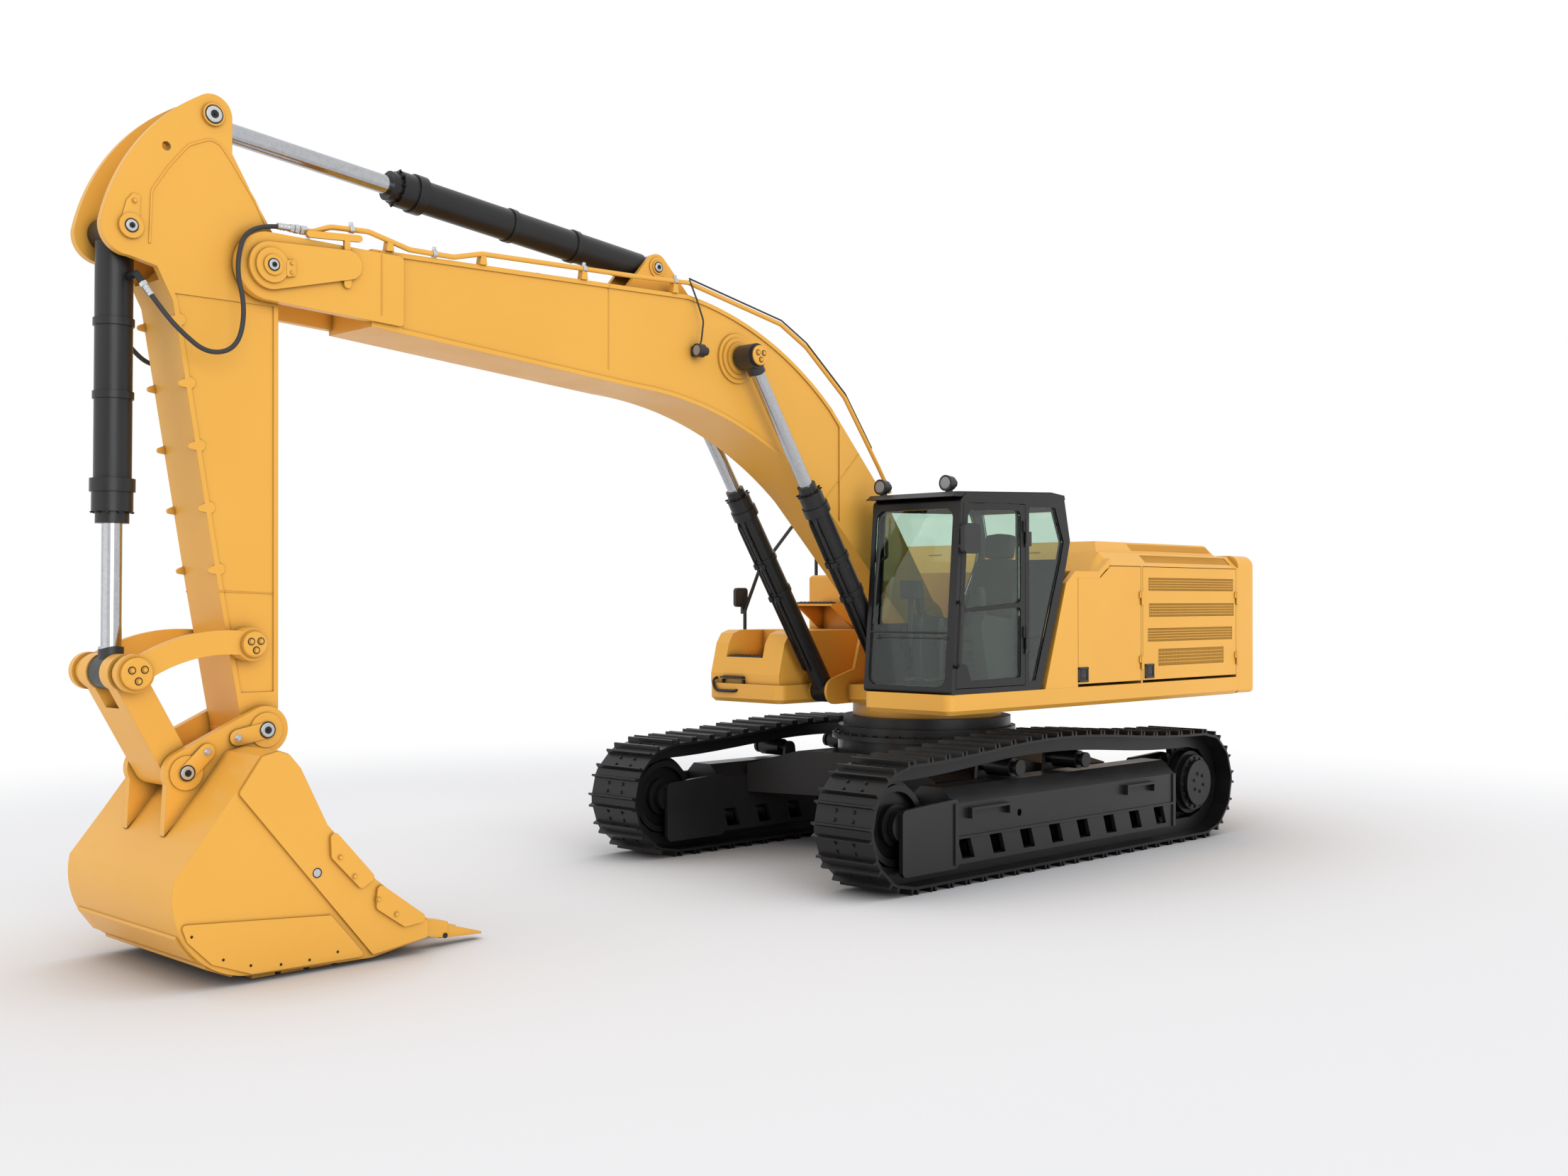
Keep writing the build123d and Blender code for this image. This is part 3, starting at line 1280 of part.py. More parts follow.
with BuildPart(MACHINE) as cab_consoles:
    for sign in (1, -1):
        near = CAB_MIDDLE + sign * CONSOLE_OUTER
        far = CAB_MIDDLE + sign * (CONSOLE_OUTER - CONSOLE_WIDTH)
        panel(
            [
                (380, CAB_FLOOR),
                (900, CAB_FLOOR),
                (1010, CAB_FLOOR + 500),
                (960, CAB_FLOOR + 590),
                (380, CAB_FLOOR + 530),
            ],
            35,
            min(near, far),
            max(near, far),
        )
        middle = (near + far) / 2
        web(
            [((900, CAB_FLOOR + 560), 20), ((920, CAB_FLOOR + 700), 16), ((935, CAB_FLOOR + 790), 30)],
            middle - 24,
            middle + 24,
        )
cab_consoles.part.label = "cab_consoles"
export_step(cab_consoles.part, "parts/cab_consoles.step")

def boom_box():
    """Outline of the boom's box section in the side view."""
    with BuildLine() as course:
        Line((BOOM_END, 4613), BOOM_CREST)
        ThreePointArc(BOOM_CREST, (2490, 4480), (1600, 3925))
        Polyline((1600, 3925), (960, 3247), (170, 2180), (500, 1950), (1740, 3140))
        ThreePointArc((1740, 3140), (2630, 3660), (3780, 3901))
        Polyline((3780, 3901), (BOOM_END, 4097), (BOOM_END, 4613))
    make_face(course.edges())


def stick_box():
    """Outline of the stick in the side view."""
    with BuildLine() as course:
        Polyline((6720, 1600), (6725, 4170), (6740, 4580), (6880, 4794), (7040, 5071), (7040, 5287))
        ThreePointArc((7040, 5287), (7105, 5400), (7235, 5400))
        ThreePointArc((7235, 5400), (7640, 5030), (7861, 4530))
        ThreePointArc((7861, 4530), (7820, 4400), (7690, 4340))
        Polyline((7690, 4340), (7520, 4300), STICK_SHOULDER, STICK_SHIN, (6964, 1480), (6760, 1420))
        Line((6760, 1420), (6720, 1600))
    make_face(course.edges())


def recess(outline, half, depth, x_low, x_high, z_low, z_high):
    """Sunken fields inside a raised lip, on both side faces of a box section."""
    for y_high in (half, depth - half):
        with BuildSketch(side(y_high)) as field:
            outline()
            offset(amount=-FLANGE_LIP, mode=Mode.REPLACE)
            with Locations(((x_low + x_high) / 2, (z_low + z_high) / 2)):
                Rectangle(x_high - x_low, z_high - z_low, mode=Mode.INTERSECT)
        extrude(field.sketch, amount=depth, mode=Mode.SUBTRACT)


# Boom
with BuildPart(MACHINE) as boom:
    with BuildSketch(side(BOOM_HALF)) as box:
        boom_box()
    extrude(box.sketch, amount=2 * BOOM_HALF)
    recess(boom_box, BOOM_HALF, BOOM_SUNK, BOOM_FIELD[0], BOOM_FIELD[1], 0, 6000)
    disc(BOOM_FOOT, FOOT_RADIUS, -FOOT_HALF, FOOT_HALF)
    lug_root = BOOM_END - LUG_LAP
    for sign in (1, -1):
        low, high = pair(sign, NOSE_INNER, NOSE_LUG)
        web([(BOOM_NOSE, NOSE_RADIUS), ((lug_root, 4560), 30), ((lug_root, 4150), 30)], low, high)
        low, high = pair(sign, NOSE_LUG, NOSE_OUTER)
        web([(BOOM_NOSE, 150), (NOSE_TAIL, 95)], low, high)
        low, high = pair(sign, NOSE_OUTER, NOSE_OUTER + NOSE_CAP)
        disc(BOOM_NOSE, 110, low, high)
        low, high = pair(sign, NOSE_LUG, NOSE_LUG + BRACKET_PLATE)
        web([((6200, 4655), 22), ((6560, 4630), 22)], low, high)
        web([((6290, 4640), 20), ((6285, 4345), 28)], low, high)
        for radius, out in LIFT_BOSS:
            low, high = pair(sign, BOOM_HALF - BOOM_SUNK - SEAT_GAP, out)
            disc(LIFT_ROD, radius, low, high)
        low, high = pair(sign, STICK_EAR_INNER, STICK_EAR_OUTER)
        web([(STICK_BASE, 105), ((3120, 4650), 20), ((3800, 4640), 20)], low, high)
        low, high = pair(sign, STICK_EAR_OUTER, STICK_EAR_OUTER + NOSE_CAP / 2)
        disc(STICK_BASE, 80, low, high)
    disc(BOOM_NOSE, NOSE_PIN, -NOSE_OUTER - NOSE_PIN_OUT, NOSE_OUTER + NOSE_PIN_OUT)
    disc(STICK_BASE, CYLINDER_PIN, -STICK_EAR_OUTER - NOSE_CAP, STICK_EAR_OUTER + NOSE_CAP)
    disc(BOOM_FOOT, FOOT_PIN + PIN_GAP, -FOOT_HALF, FOOT_HALF, Mode.SUBTRACT)
boom.part.label = "boom"
export_step(boom.part, "parts/boom.step")

# Steel pipes along the boom, on posts
CREST_DROP = (BOOM_CREST[1] - 4613) / (BOOM_END - BOOM_CREST[0])
CREST_SEAT = BOOM_CREST[1] + SEAT_GAP
with BuildPart(MACHINE) as boom_pipes:
    for sign in (1, -1):
        rail(PIPE_ROUTE, sign * PIPE_Y, PIPE_RADIUS, PIPE_BEND)
        for x, top in PIPE_POSTS:
            ends = [CREST_SEAT - CREST_DROP * (foot - BOOM_CREST[0]) for foot in (x - 30, x + 30)]
            low, high = pair(sign, BOOM_HALF - POST_PLATE, BOOM_HALF + PIPE_RADIUS)
            plate([(x - 30, ends[0]), (x + 30, ends[1]), (x + 18, top), (x - 18, top)], low, high)
boom_pipes.part.label = "boom_pipes"
export_step(boom_pipes.part, "parts/boom_pipes.step")

# Round work lamp on the boom's left side
with BuildPart(MACHINE) as boom_lamp:
    wall = BOOM_HALF - BOOM_SUNK + SEAT_GAP
    block(WORK_LAMP[0] - 30, WORK_LAMP[0] + 30, wall, wall + 14, WORK_LAMP[1] - 38, WORK_LAMP[1] + 38)
    hull = WORK_LAMP_Y - WORK_LAMP_RADIUS + 8
    block(WORK_LAMP[0] - 14, WORK_LAMP[0] + 14, wall, hull, WORK_LAMP[1] - 14, WORK_LAMP[1] + 14)
    for radius, start, end, mode in WORK_LAMP_STEPS:
        with BuildSketch(front(WORK_LAMP[0] + start)) as round_face:
            with Locations((WORK_LAMP_Y, WORK_LAMP[1])):
                Circle(radius)
        extrude(round_face.sketch, amount=end - start, mode=mode)
boom_lamp.part.label = "boom_lamp"
export_step(boom_lamp.part, "parts/boom_lamp.step")


def hose_bends(points):
    """Bend radius at each inner point of a hose route, from its shorter run."""
    radii = []
    for before, here, after in zip(points, points[1:], points[2:]):
        arrive = Vector(here) - Vector(before)
        leave = Vector(after) - Vector(here)
        shorter = min(arrive.length, leave.length)
        radii.append(HOSE_SHARE * shorter / tan(radians(arrive.get_angle(leave)) / 2))
    return radii


def hose(name, sign):
    """Free hose from a boom pipe's end to the bucket cylinder's port."""
    points = [(SWING_X + x, sign * y, z) for x, y, z in HOSE_ROUTE]
    radii = hose_bends(points)
    print(name, "bend radii", [round(radius) for radius in radii])
    with BuildPart() as tube:
        with BuildLine() as route:
            FilletPolyline(*points, radius=radii)
        with BuildSketch(Plane(origin=route.line @ 0, z_dir=route.line % 0)) as section:
            Circle(HOSE_RADIUS)
        sweep(section.sketch, path=route.wires()[0])
    tube.part.label = name
    export_step(tube.part, f"parts/{name}.step")


hose("stick_hose_left", 1)
hose("stick_hose_right", -1)


def cylinder_barrel(start, end, y, length, tube, shaft, eye_half, eye_radius, bands):
    """Barrel of a cylinder: base eye, banded tube and stepped head, bored for the rod."""
    neck = eye_radius * 0.7
    floor = eye_radius + BASE_FLOOR
    disc(start, eye_radius, y - eye_half, y + eye_half)
    barrel(along(start, end, y).offset(neck), length - HEAD_LENGTH / 2 - neck, tube)
    for share in bands:
        barrel(along(start, end, y).offset(share * length), BAND_WIDTH, tube + BAND_EXTRA)
    for back, ahead, extra in HEAD_STEPS:
        barrel(along(start, end, y).offset(length - back), back - ahead, tube + extra)
    barrel(along(start, end, y).offset(floor), length - floor - GLAND, tube - TUBE_WALL, Mode.SUBTRACT)
    barrel(along(start, end, y).offset(floor), length - floor, shaft + PIN_GAP, Mode.SUBTRACT)
    disc(start, CYLINDER_PIN + PIN_GAP, y - eye_half - 1, y + eye_half + 1, Mode.SUBTRACT)


def cylinder_rod(start, end, y, tail, shaft, eye_half, eye_radius):
    """Rod of a cylinder, from inside the barrel to its eye."""
    collar = reach(start, end) - eye_radius - EYE_COLLAR
    barrel(along(start, end, y).offset(tail), reach(start, end) - tail, shaft)
    barrel(along(start, end, y).offset(collar), EYE_COLLAR + eye_radius / 2, shaft + COLLAR_EXTRA)
    disc(end, eye_radius, y - eye_half, y + eye_half)


with BuildPart(MACHINE) as boom_cylinder_barrels:
    for sign in (1, -1):
        cylinder_barrel(
            LIFT_BASE, LIFT_ROD, sign * LIFT_Y, LIFT_BARREL, LIFT_TUBE, LIFT_SHAFT, LIFT_EYE, 105, LIFT_BANDS
        )
boom_cylinder_barrels.part.label = "boom_cylinder_barrels"
export_step(boom_cylinder_barrels.part, "parts/boom_cylinder_barrels.step")

with BuildPart(MACHINE) as boom_cylinder_rods:
    for sign in (1, -1):
        cylinder_rod(LIFT_BASE, LIFT_ROD, sign * LIFT_Y, LIFT_TAIL, LIFT_SHAFT, LIFT_EYE, 100)
        low, high = pair(sign, LIFT_BOSS[-1][1] + SEAT_GAP, LIFT_Y)
        disc(LIFT_ROD, CYLINDER_PIN, low, high)
        low, high = pair(sign, LIFT_Y + LIFT_EYE, LIFT_Y + LIFT_EYE + LIFT_CAP)
        disc(LIFT_ROD, 84, low, high)
boom_cylinder_rods.part.label = "boom_cylinder_rods"
export_step(boom_cylinder_rods.part, "parts/boom_cylinder_rods.step")

with BuildPart(MACHINE) as stick_cylinder_barrel:
    cylinder_barrel(
        STICK_BASE, STICK_TOP, 0, STICK_BARREL, STICK_TUBE, STICK_SHAFT, STICK_EYE, 100, STICK_BANDS
    )
stick_cylinder_barrel.part.label = "stick_cylinder_barrel"
export_step(stick_cylinder_barrel.part, "parts/stick_cylinder_barrel.step")

with BuildPart(MACHINE) as stick_cylinder_rod:
    cylinder_rod(STICK_BASE, STICK_TOP, 0, STICK_TAIL, STICK_SHAFT, 150, 95)
stick_cylinder_rod.part.label = "stick_cylinder_rod"
export_step(stick_cylinder_rod.part, "parts/stick_cylinder_rod.step")

# Stick: box section below, two plates above for the cylinders
with BuildPart(MACHINE) as stick:
    with BuildSketch(side(STICK_HALF)) as outline:
        stick_box()
    extrude(outline.sketch, amount=2 * STICK_HALF)
    recess(stick_box, STICK_HALF, STICK_SUNK, 6000, 8000, STICK_FIELD[0], STICK_FIELD[1])
    disc(STICK_NOSE, STICK_NOSE_RADIUS, -STICK_HALF, STICK_HALF)
    plate(
        [(6600, 4560), (7150, 4560), (7470, 4230), (8000, 4230), (8000, 5600), (6600, 5600)],
        -STICK_HALF + STICK_PLATE,
        STICK_HALF - STICK_PLATE,
        Mode.SUBTRACT,
    )
    lean = (STICK_SHOULDER[0] - STICK_SHIN[0]) / (STICK_SHOULDER[1] - STICK_SHIN[1])
    for sign in (1, -1):
        low, high = pair(sign, STICK_HALF, IDLER_INNER - SEAT_GAP)
        disc(LINK_STICK, 105, low, high)
        low, high = pair(sign, IDLER_OUTER + SEAT_GAP, IDLER_OUTER + RETAINER)
        disc(LINK_STICK, 85, low, high)
        low, high = pair(sign, STICK_HALF, STICK_HALF + PIN_BOSS)
        disc(STICK_TOP, 70, low, high)
        disc(BUCKET_BASE, 75, low, high)
        low, high = pair(sign, STICK_HALF - TAB_PLATE, STICK_HALF)
        for index in range(TAB_COUNT):
            z = STICK_SHIN[1] + TAB_FIRST + index * TAB_STEP
            x = STICK_SHIN[0] + lean * (z - STICK_SHIN[1])
            web([((x - 30, z), 34), ((x + 30, z - 8), 18)], low, high)
    disc(LINK_STICK, LINK_PIN, -IDLER_OUTER - RETAINER, IDLER_OUTER + RETAINER)
    disc(BUCKET_BASE, CYLINDER_PIN, -STICK_HALF, STICK_HALF)
    disc(STICK_EAR_HOLE, 28, -STICK_HALF, STICK_HALF, Mode.SUBTRACT)
    disc(BOOM_NOSE, NOSE_PIN + PIN_GAP, -STICK_HALF, STICK_HALF, Mode.SUBTRACT)
    disc(STICK_NOSE, STICK_PIN + PIN_GAP, -STICK_HALF, STICK_HALF, Mode.SUBTRACT)
stick.part.label = "stick"
export_step(stick.part, "parts/stick.step")

# Bucket cylinder, with a fitting on each side for the hoses
HOSE_END = HOSE_ROUTE[-1]
HOSE_BEFORE = HOSE_ROUTE[-2]
with BuildPart(MACHINE) as bucket_cylinder_barrel:
    cylinder_barrel(
        BUCKET_BASE, LINK_ROD, 0, BUCKET_BARREL, BUCKET_TUBE, BUCKET_SHAFT, BUCKET_EYE, 100, BUCKET_BANDS
    )
    for sign in (1, -1):
        low, high = pair(sign, PORT_ROOT, PORT_OUT)
        disc(PORT, PORT_RADIUS, low, high)
        facing = Plane(
            origin=(SWING_X + HOSE_END[0], sign * HOSE_END[1], HOSE_END[2]),
            z_dir=(
                HOSE_END[0] - HOSE_BEFORE[0],
                sign * (HOSE_END[1] - HOSE_BEFORE[1]),
                HOSE_END[2] - HOSE_BEFORE[2],
            ),
        )
        barrel(facing.offset(SEAT_GAP), FITTING_LENGTH, HOSE_RADIUS + 6)
bucket_cylinder_barrel.part.label = "bucket_cylinder_barrel"
export_step(bucket_cylinder_barrel.part, "parts/bucket_cylinder_barrel.step")

with BuildPart(MACHINE) as bucket_cylinder_rod:
    cylinder_rod(BUCKET_BASE, LINK_ROD, 0, BUCKET_TAIL, BUCKET_SHAFT, 85, 105)
bucket_cylinder_rod.part.label = "bucket_cylinder_rod"
export_step(bucket_cylinder_rod.part, "parts/bucket_cylinder_rod.step")

# Idler links beside the stick
with BuildPart(MACHINE) as idler_links:
    middle = ((LINK_STICK[0] + LINK_ROD[0]) / 2, (LINK_STICK[1] + LINK_ROD[1]) / 2 + IDLER_BOW)
    for sign in (1, -1):
        low, high = pair(sign, IDLER_INNER, IDLER_OUTER)
        with BuildSketch(side(high)) as band:
            with BuildLine(mode=Mode.PRIVATE) as bow:
                ThreePointArc(LINK_STICK, middle, LINK_ROD)
            SlotArc(bow.edge(), IDLER_BAND)
            with Locations(LINK_STICK):
                Circle(105)
            with Locations(LINK_ROD):
                Circle(115)
        extrude(band.sketch, amount=high - low)
        low, high = pair(sign, POWER_HALF + LINK_BOSS, IDLER_OUTER + RETAINER)
        disc(LINK_ROD, 95, low, high)
    disc(LINK_STICK, LINK_PIN + PIN_GAP, -IDLER_OUTER, IDLER_OUTER, Mode.SUBTRACT)
idler_links.part.label = "idler_links"
export_step(idler_links.part, "parts/idler_links.step")

# Power link between rod and bucket
with BuildPart(MACHINE) as power_link:
    web([(LINK_BUCKET, POWER_BAND / 2), (LINK_ROD, POWER_BAND / 2)], -POWER_HALF, POWER_HALF)
    disc(LINK_ROD, 112, -POWER_HALF, POWER_HALF)
    slot_end = between(LINK_ROD, LINK_BUCKET, 115)
    web([(LINK_ROD, 150), (slot_end, 125)], -EYE_SLOT, EYE_SLOT, Mode.SUBTRACT)
    disc(LINK_ROD, 55, -POWER_HALF, POWER_HALF, Mode.SUBTRACT)
    disc(LINK_BUCKET, CYLINDER_PIN + PIN_GAP, -POWER_HALF, POWER_HALF, Mode.SUBTRACT)
power_link.part.label = "power_link"
export_step(power_link.part, "parts/power_link.step")

# Bucket: side plates with wear plates, curved wrapper with wear bars, hinge ears and cutting edge
with BuildPart(MACHINE) as bucket:
    with BuildSketch(side(BUCKET_HALF)) as profile:
        with BuildLine():
            Polyline((6856, 1258), (6674, 895), (6339, 523), (LIP_X, 214), (LIP_X, 95), (6350, 26), HEEL_LOW)
            heel = ThreePointArc(HEEL_LOW, (7592, 306), (7646, 665))
            Polyline((7646, 665), (7430, 935), (7111, 1350), (7000, 1375), (6930, 1350), (6856, 1258))
        make_face()
    extrude(profile.sketch, amount=2 * BUCKET_HALF)
    with BuildSketch(side(BUCKET_HALF - BUCKET_SIDE)) as cavity:
        with BuildLine():
            Polyline((6950, 1330), (6300, 1330), (5800, 250), (LIP_X, LIP_TOP), (6355, 66), (7160, 80))
            ThreePointArc((7160, 80), (7560, 320), (7612, 650))
            Polyline((7612, 650), (7405, 915), (7085, 1330), (6950, 1330))
        make_face()
    extrude(cavity.sketch, amount=2 * (BUCKET_HALF - BUCKET_SIDE), mode=Mode.SUBTRACT)
    disc(STICK_NOSE, STICK_NOSE_RADIUS + 15, -EAR_INNER, EAR_INNER, Mode.SUBTRACT)
    for sign in (1, -1):
        low, high = pair(sign, EAR_INNER, EAR_OUTER)
        web([(STICK_NOSE, 150), (LINK_BUCKET, 135)], low, high)
        plate([(6900, 1340), (7430, 935), (7500, 860), (7480, 1200), (7000, 1500)], low, high)
        low, high = pair(sign, EAR_OUTER, EAR_OUTER + EAR_BOSS)
        disc(STICK_NOSE, 110, low, high)
        disc(LINK_BUCKET, 105, low, high)
        low, high = pair(sign, BUCKET_HALF, BUCKET_HALF + CUTTER_PLATE)
        panel(CUTTER, 24, low, high)
        low, high = pair(sign, BUCKET_HALF, BUCKET_HALF + WEAR_PLATE)
        panel(WEAR, 20, low, high)
        low, high = pair(sign, BUCKET_HALF - BUCKET_SIDE, BUCKET_HALF + GUARD_PLATE)
        for guard in SIDE_GUARDS:
            panel(guard, 30, low, high)
    for start in WEAR_BARS:
        plate(
            [(start, 14), (start + BAR_WIDTH, 14), (start + BAR_WIDTH, 52), (start, 52)],
            -BAR_HALF,
            BAR_HALF,
        )
    for first, last in HEEL_BARS:
        place = heel.position_at(first)
        further = heel.position_at(last)
        web([((place.X, place.Y), BAR_THICK), ((further.X, further.Y), BAR_THICK)], -BAR_HALF, BAR_HALF)
    plate(
        [
            (6950, 1330),
            (6300, 1330),
            (5800, 250),
            (LIP_X, LIP_TOP),
            (6355, 66),
            (7085, 90),
            (7480, 500),
            (7085, 1330),
        ],
        -BUCKET_HALF + BUCKET_SIDE,
        BUCKET_HALF - BUCKET_SIDE,
        Mode.SUBTRACT,
    )
    disc(STICK_NOSE, STICK_PIN, -EAR_OUTER - EAR_BOSS, EAR_OUTER + EAR_BOSS)
    disc(LINK_BUCKET, CYLINDER_PIN, -EAR_OUTER - EAR_BOSS, EAR_OUTER + EAR_BOSS)
bucket.part.label = "bucket"
export_step(bucket.part, "parts/bucket.step")

# Adapters astride the cutting edge, with pointed tips
with BuildPart(MACHINE) as bucket_teeth:
    seat = LIP_X - SEAT_GAP
    rest = LIP_TOP + 2 * SEAT_GAP
    for index in range(TOOTH_COUNT):
        middle = TOOTH_SPREAD * (2 * index / (TOOTH_COUNT - 1) - 1)
        plate(
            [
                (seat, 92),
                (seat, rest),
                (6140, 110 + 2 * SEAT_GAP),
                (6150, 140),
                (5990, 218),
                (5740, 160),
                (5740, 52),
            ],
            middle - TOOTH_WIDTH / 2,
            middle + TOOTH_WIDTH / 2,
        )
        with BuildSketch(front(TIP_REAR)) as root:
            with Locations((middle, 104)):
                Rectangle(TOOTH_WIDTH - 16, 96)
        with BuildSketch(front(TIP_X)) as point:
            with Locations((middle, 43)):
                Rectangle(TIP_WIDTH, 14)
        loft(sections=[root.sketch, point.sketch])
bucket_teeth.part.label = "bucket_teeth"
export_step(bucket_teeth.part, "parts/bucket_teeth.step")
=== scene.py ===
import json
import math

import bmesh
import bpy
from mathutils import Matrix, Vector
from mathutils.bvhtree import BVHTree


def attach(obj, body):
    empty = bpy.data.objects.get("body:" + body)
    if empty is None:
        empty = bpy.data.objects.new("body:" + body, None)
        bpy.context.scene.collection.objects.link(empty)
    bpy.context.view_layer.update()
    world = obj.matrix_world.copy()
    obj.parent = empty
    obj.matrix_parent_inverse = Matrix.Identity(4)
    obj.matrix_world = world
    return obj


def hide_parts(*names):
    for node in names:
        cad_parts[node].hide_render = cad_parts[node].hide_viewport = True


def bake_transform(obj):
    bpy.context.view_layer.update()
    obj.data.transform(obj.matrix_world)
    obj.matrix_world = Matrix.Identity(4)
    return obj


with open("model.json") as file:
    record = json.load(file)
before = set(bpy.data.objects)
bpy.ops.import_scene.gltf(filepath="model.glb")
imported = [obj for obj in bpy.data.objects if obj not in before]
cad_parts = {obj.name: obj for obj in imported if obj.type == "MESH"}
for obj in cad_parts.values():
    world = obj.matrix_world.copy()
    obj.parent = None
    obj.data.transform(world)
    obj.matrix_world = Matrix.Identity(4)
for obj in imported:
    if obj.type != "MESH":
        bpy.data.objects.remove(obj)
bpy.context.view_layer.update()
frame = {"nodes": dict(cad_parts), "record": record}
NODES = frame["nodes"]
scene = bpy.context.scene
scene.view_settings.view_transform = "Standard"

FORWARD, ACROSS, UP = Vector((1, 0, 0)), Vector((0, 1, 0)), Vector((0, 0, 1))
SIDES = (("left", 1), ("right", -1))
SIGNS = (1, -1)
FACINGS = ((1, ACROSS), (-1, -ACROSS))

# Camera of the photograph, with its width and focal length in pixels
PHOTO_WIDTH, PHOTO_FOCAL = 2212.0, 2322.2
SENSOR_WIDTH, CLIP_END = 36.0, 500.0
CAMERA_PLACE = (9.881, 9.888, 2.279)
CAMERA_YAW, CAMERA_PITCH = math.radians(-135.4), math.radians(0.43)

# Lights: name, side that they come from, strength and spread in degrees
SOFT_SUNS = (
    ("key_wall", (5.5, 16.0, 3.6), 1.0, 40.0),
    ("fill_wall", (15.0, -3.0, 3.0), 0.25, 60.0),
    ("ceiling", (0.5, -1.5, 16.0), 0.25, 60.0),
)
ROOM = {"Color": (0.96, 0.98, 1.0, 1.0), "Strength": 0.80}
BACKDROP = {"Color": (1.0, 1.0, 1.0, 1.0), "Strength": 1.0}

# Floor: half width, colour, fade into the backdrop and painted shade under the machine
FLOOR_REACH = 150.0
FLOOR_COLOUR, FLOOR_SHADE = (0.94, 0.932, 0.942, 1.0), (0.0, 0.0, 0.0, 1.0)
FADE_START, FADE_END = 7.5, 14.0
SHADE_REACH, SHADE_SAMPLES = 3.2, 8
SHADE_CLOSED, SHADE_OPEN, SHADE_LEAST = 0.10, 0.95, 0.42


def placed(name, data):
    """New object of the scene, at the origin."""
    item = bpy.data.objects.new(name, data)
    scene.collection.objects.link(item)
    return item


def fill(tree, node, values):
    """Link a node's inputs to outputs or set them to values."""
    for key, value in values.items():
        if isinstance(value, bpy.types.NodeSocket):
            tree.links.new(value, node.inputs[key])
        else:
            node.inputs[key].default_value = value


def add(tree, kind, values=None, **settings):
    """New node with its settings and inputs."""
    node = tree.nodes.new(kind)
    for name, value in settings.items():
        setattr(node, name, value)
    fill(tree, node, values or {})
    return node


def noise(tree, vector, scale, detail, roughness):
    values = {"Vector": vector, "Scale": scale, "Detail": detail, "Roughness": roughness}
    return add(tree, "ShaderNodeTexNoise", values).outputs["Fac"]


def span(tree, value, low, high, to_low=0.0, to_high=1.0, curve="LINEAR"):
    """Value brought from one range to another."""
    values = {"Value": value, "From Min": low, "From Max": high, "To Min": to_low, "To Max": to_high}
    return add(tree, "ShaderNodeMapRange", values, interpolation_type=curve).outputs["Result"]


def sums(tree, operation, first, second):
    return add(tree, "ShaderNodeMath", {0: first, 1: second}, operation=operation).outputs[0]


def blend_colour(tree, factor, first, second):
    # Sockets 6 and 7 in and 2 out are the mix node's colours
    return add(tree, "ShaderNodeMix", {"Factor": factor, 6: first, 7: second}, data_type="RGBA").outputs[2]


def photo_camera():
    data = bpy.data.cameras.new("photo_camera")
    data.sensor_width = SENSOR_WIDTH
    data.lens = SENSOR_WIDTH * PHOTO_FOCAL / PHOTO_WIDTH
    data.clip_end = CLIP_END
    camera = placed("photo_camera", data)
    camera.location = CAMERA_PLACE
    look = Vector((
        math.cos(CAMERA_YAW) * math.cos(CAMERA_PITCH),
        math.sin(CAMERA_YAW) * math.cos(CAMERA_PITCH),
        math.sin(CAMERA_PITCH),
    ))
    camera.rotation_euler = look.to_track_quat("-Z", "Y").to_euler()
    scene.camera = camera


def soft_sun(name, toward, strength, spread):
    """Even light from one side, soft as a wall of diffusers."""
    data = bpy.data.lights.new(name, "SUN")
    data.energy = strength
    data.angle = math.radians(spread)
    placed(name, data).rotation_euler = (-Vector(toward)).to_track_quat("-Z", "Y").to_euler()


def white_studio():
    """White backdrop for the eye, mirrors and glass, and a dimmer room for the light."""
    world = bpy.data.worlds.new("white_studio")
    scene.world = world
    world.use_nodes = True
    tree = world.node_tree
    tree.nodes.clear()
    rays = add(tree, "ShaderNodeLightPath").outputs
    seen = sums(tree, "MAXIMUM", rays["Is Camera Ray"], rays["Is Glossy Ray"])
    shown = sums(tree, "MAXIMUM", seen, rays["Is Transmission Ray"])
    room = add(tree, "ShaderNodeBackground", ROOM)
    backdrop = add(tree, "ShaderNodeBackground", BACKDROP)
    mix = add(tree, "ShaderNodeMixShader", {"Fac": shown, 1: room.outputs[0], 2: backdrop.outputs[0]})
    add(tree, "ShaderNodeOutputWorld", {"Surface": mix.outputs[0]})


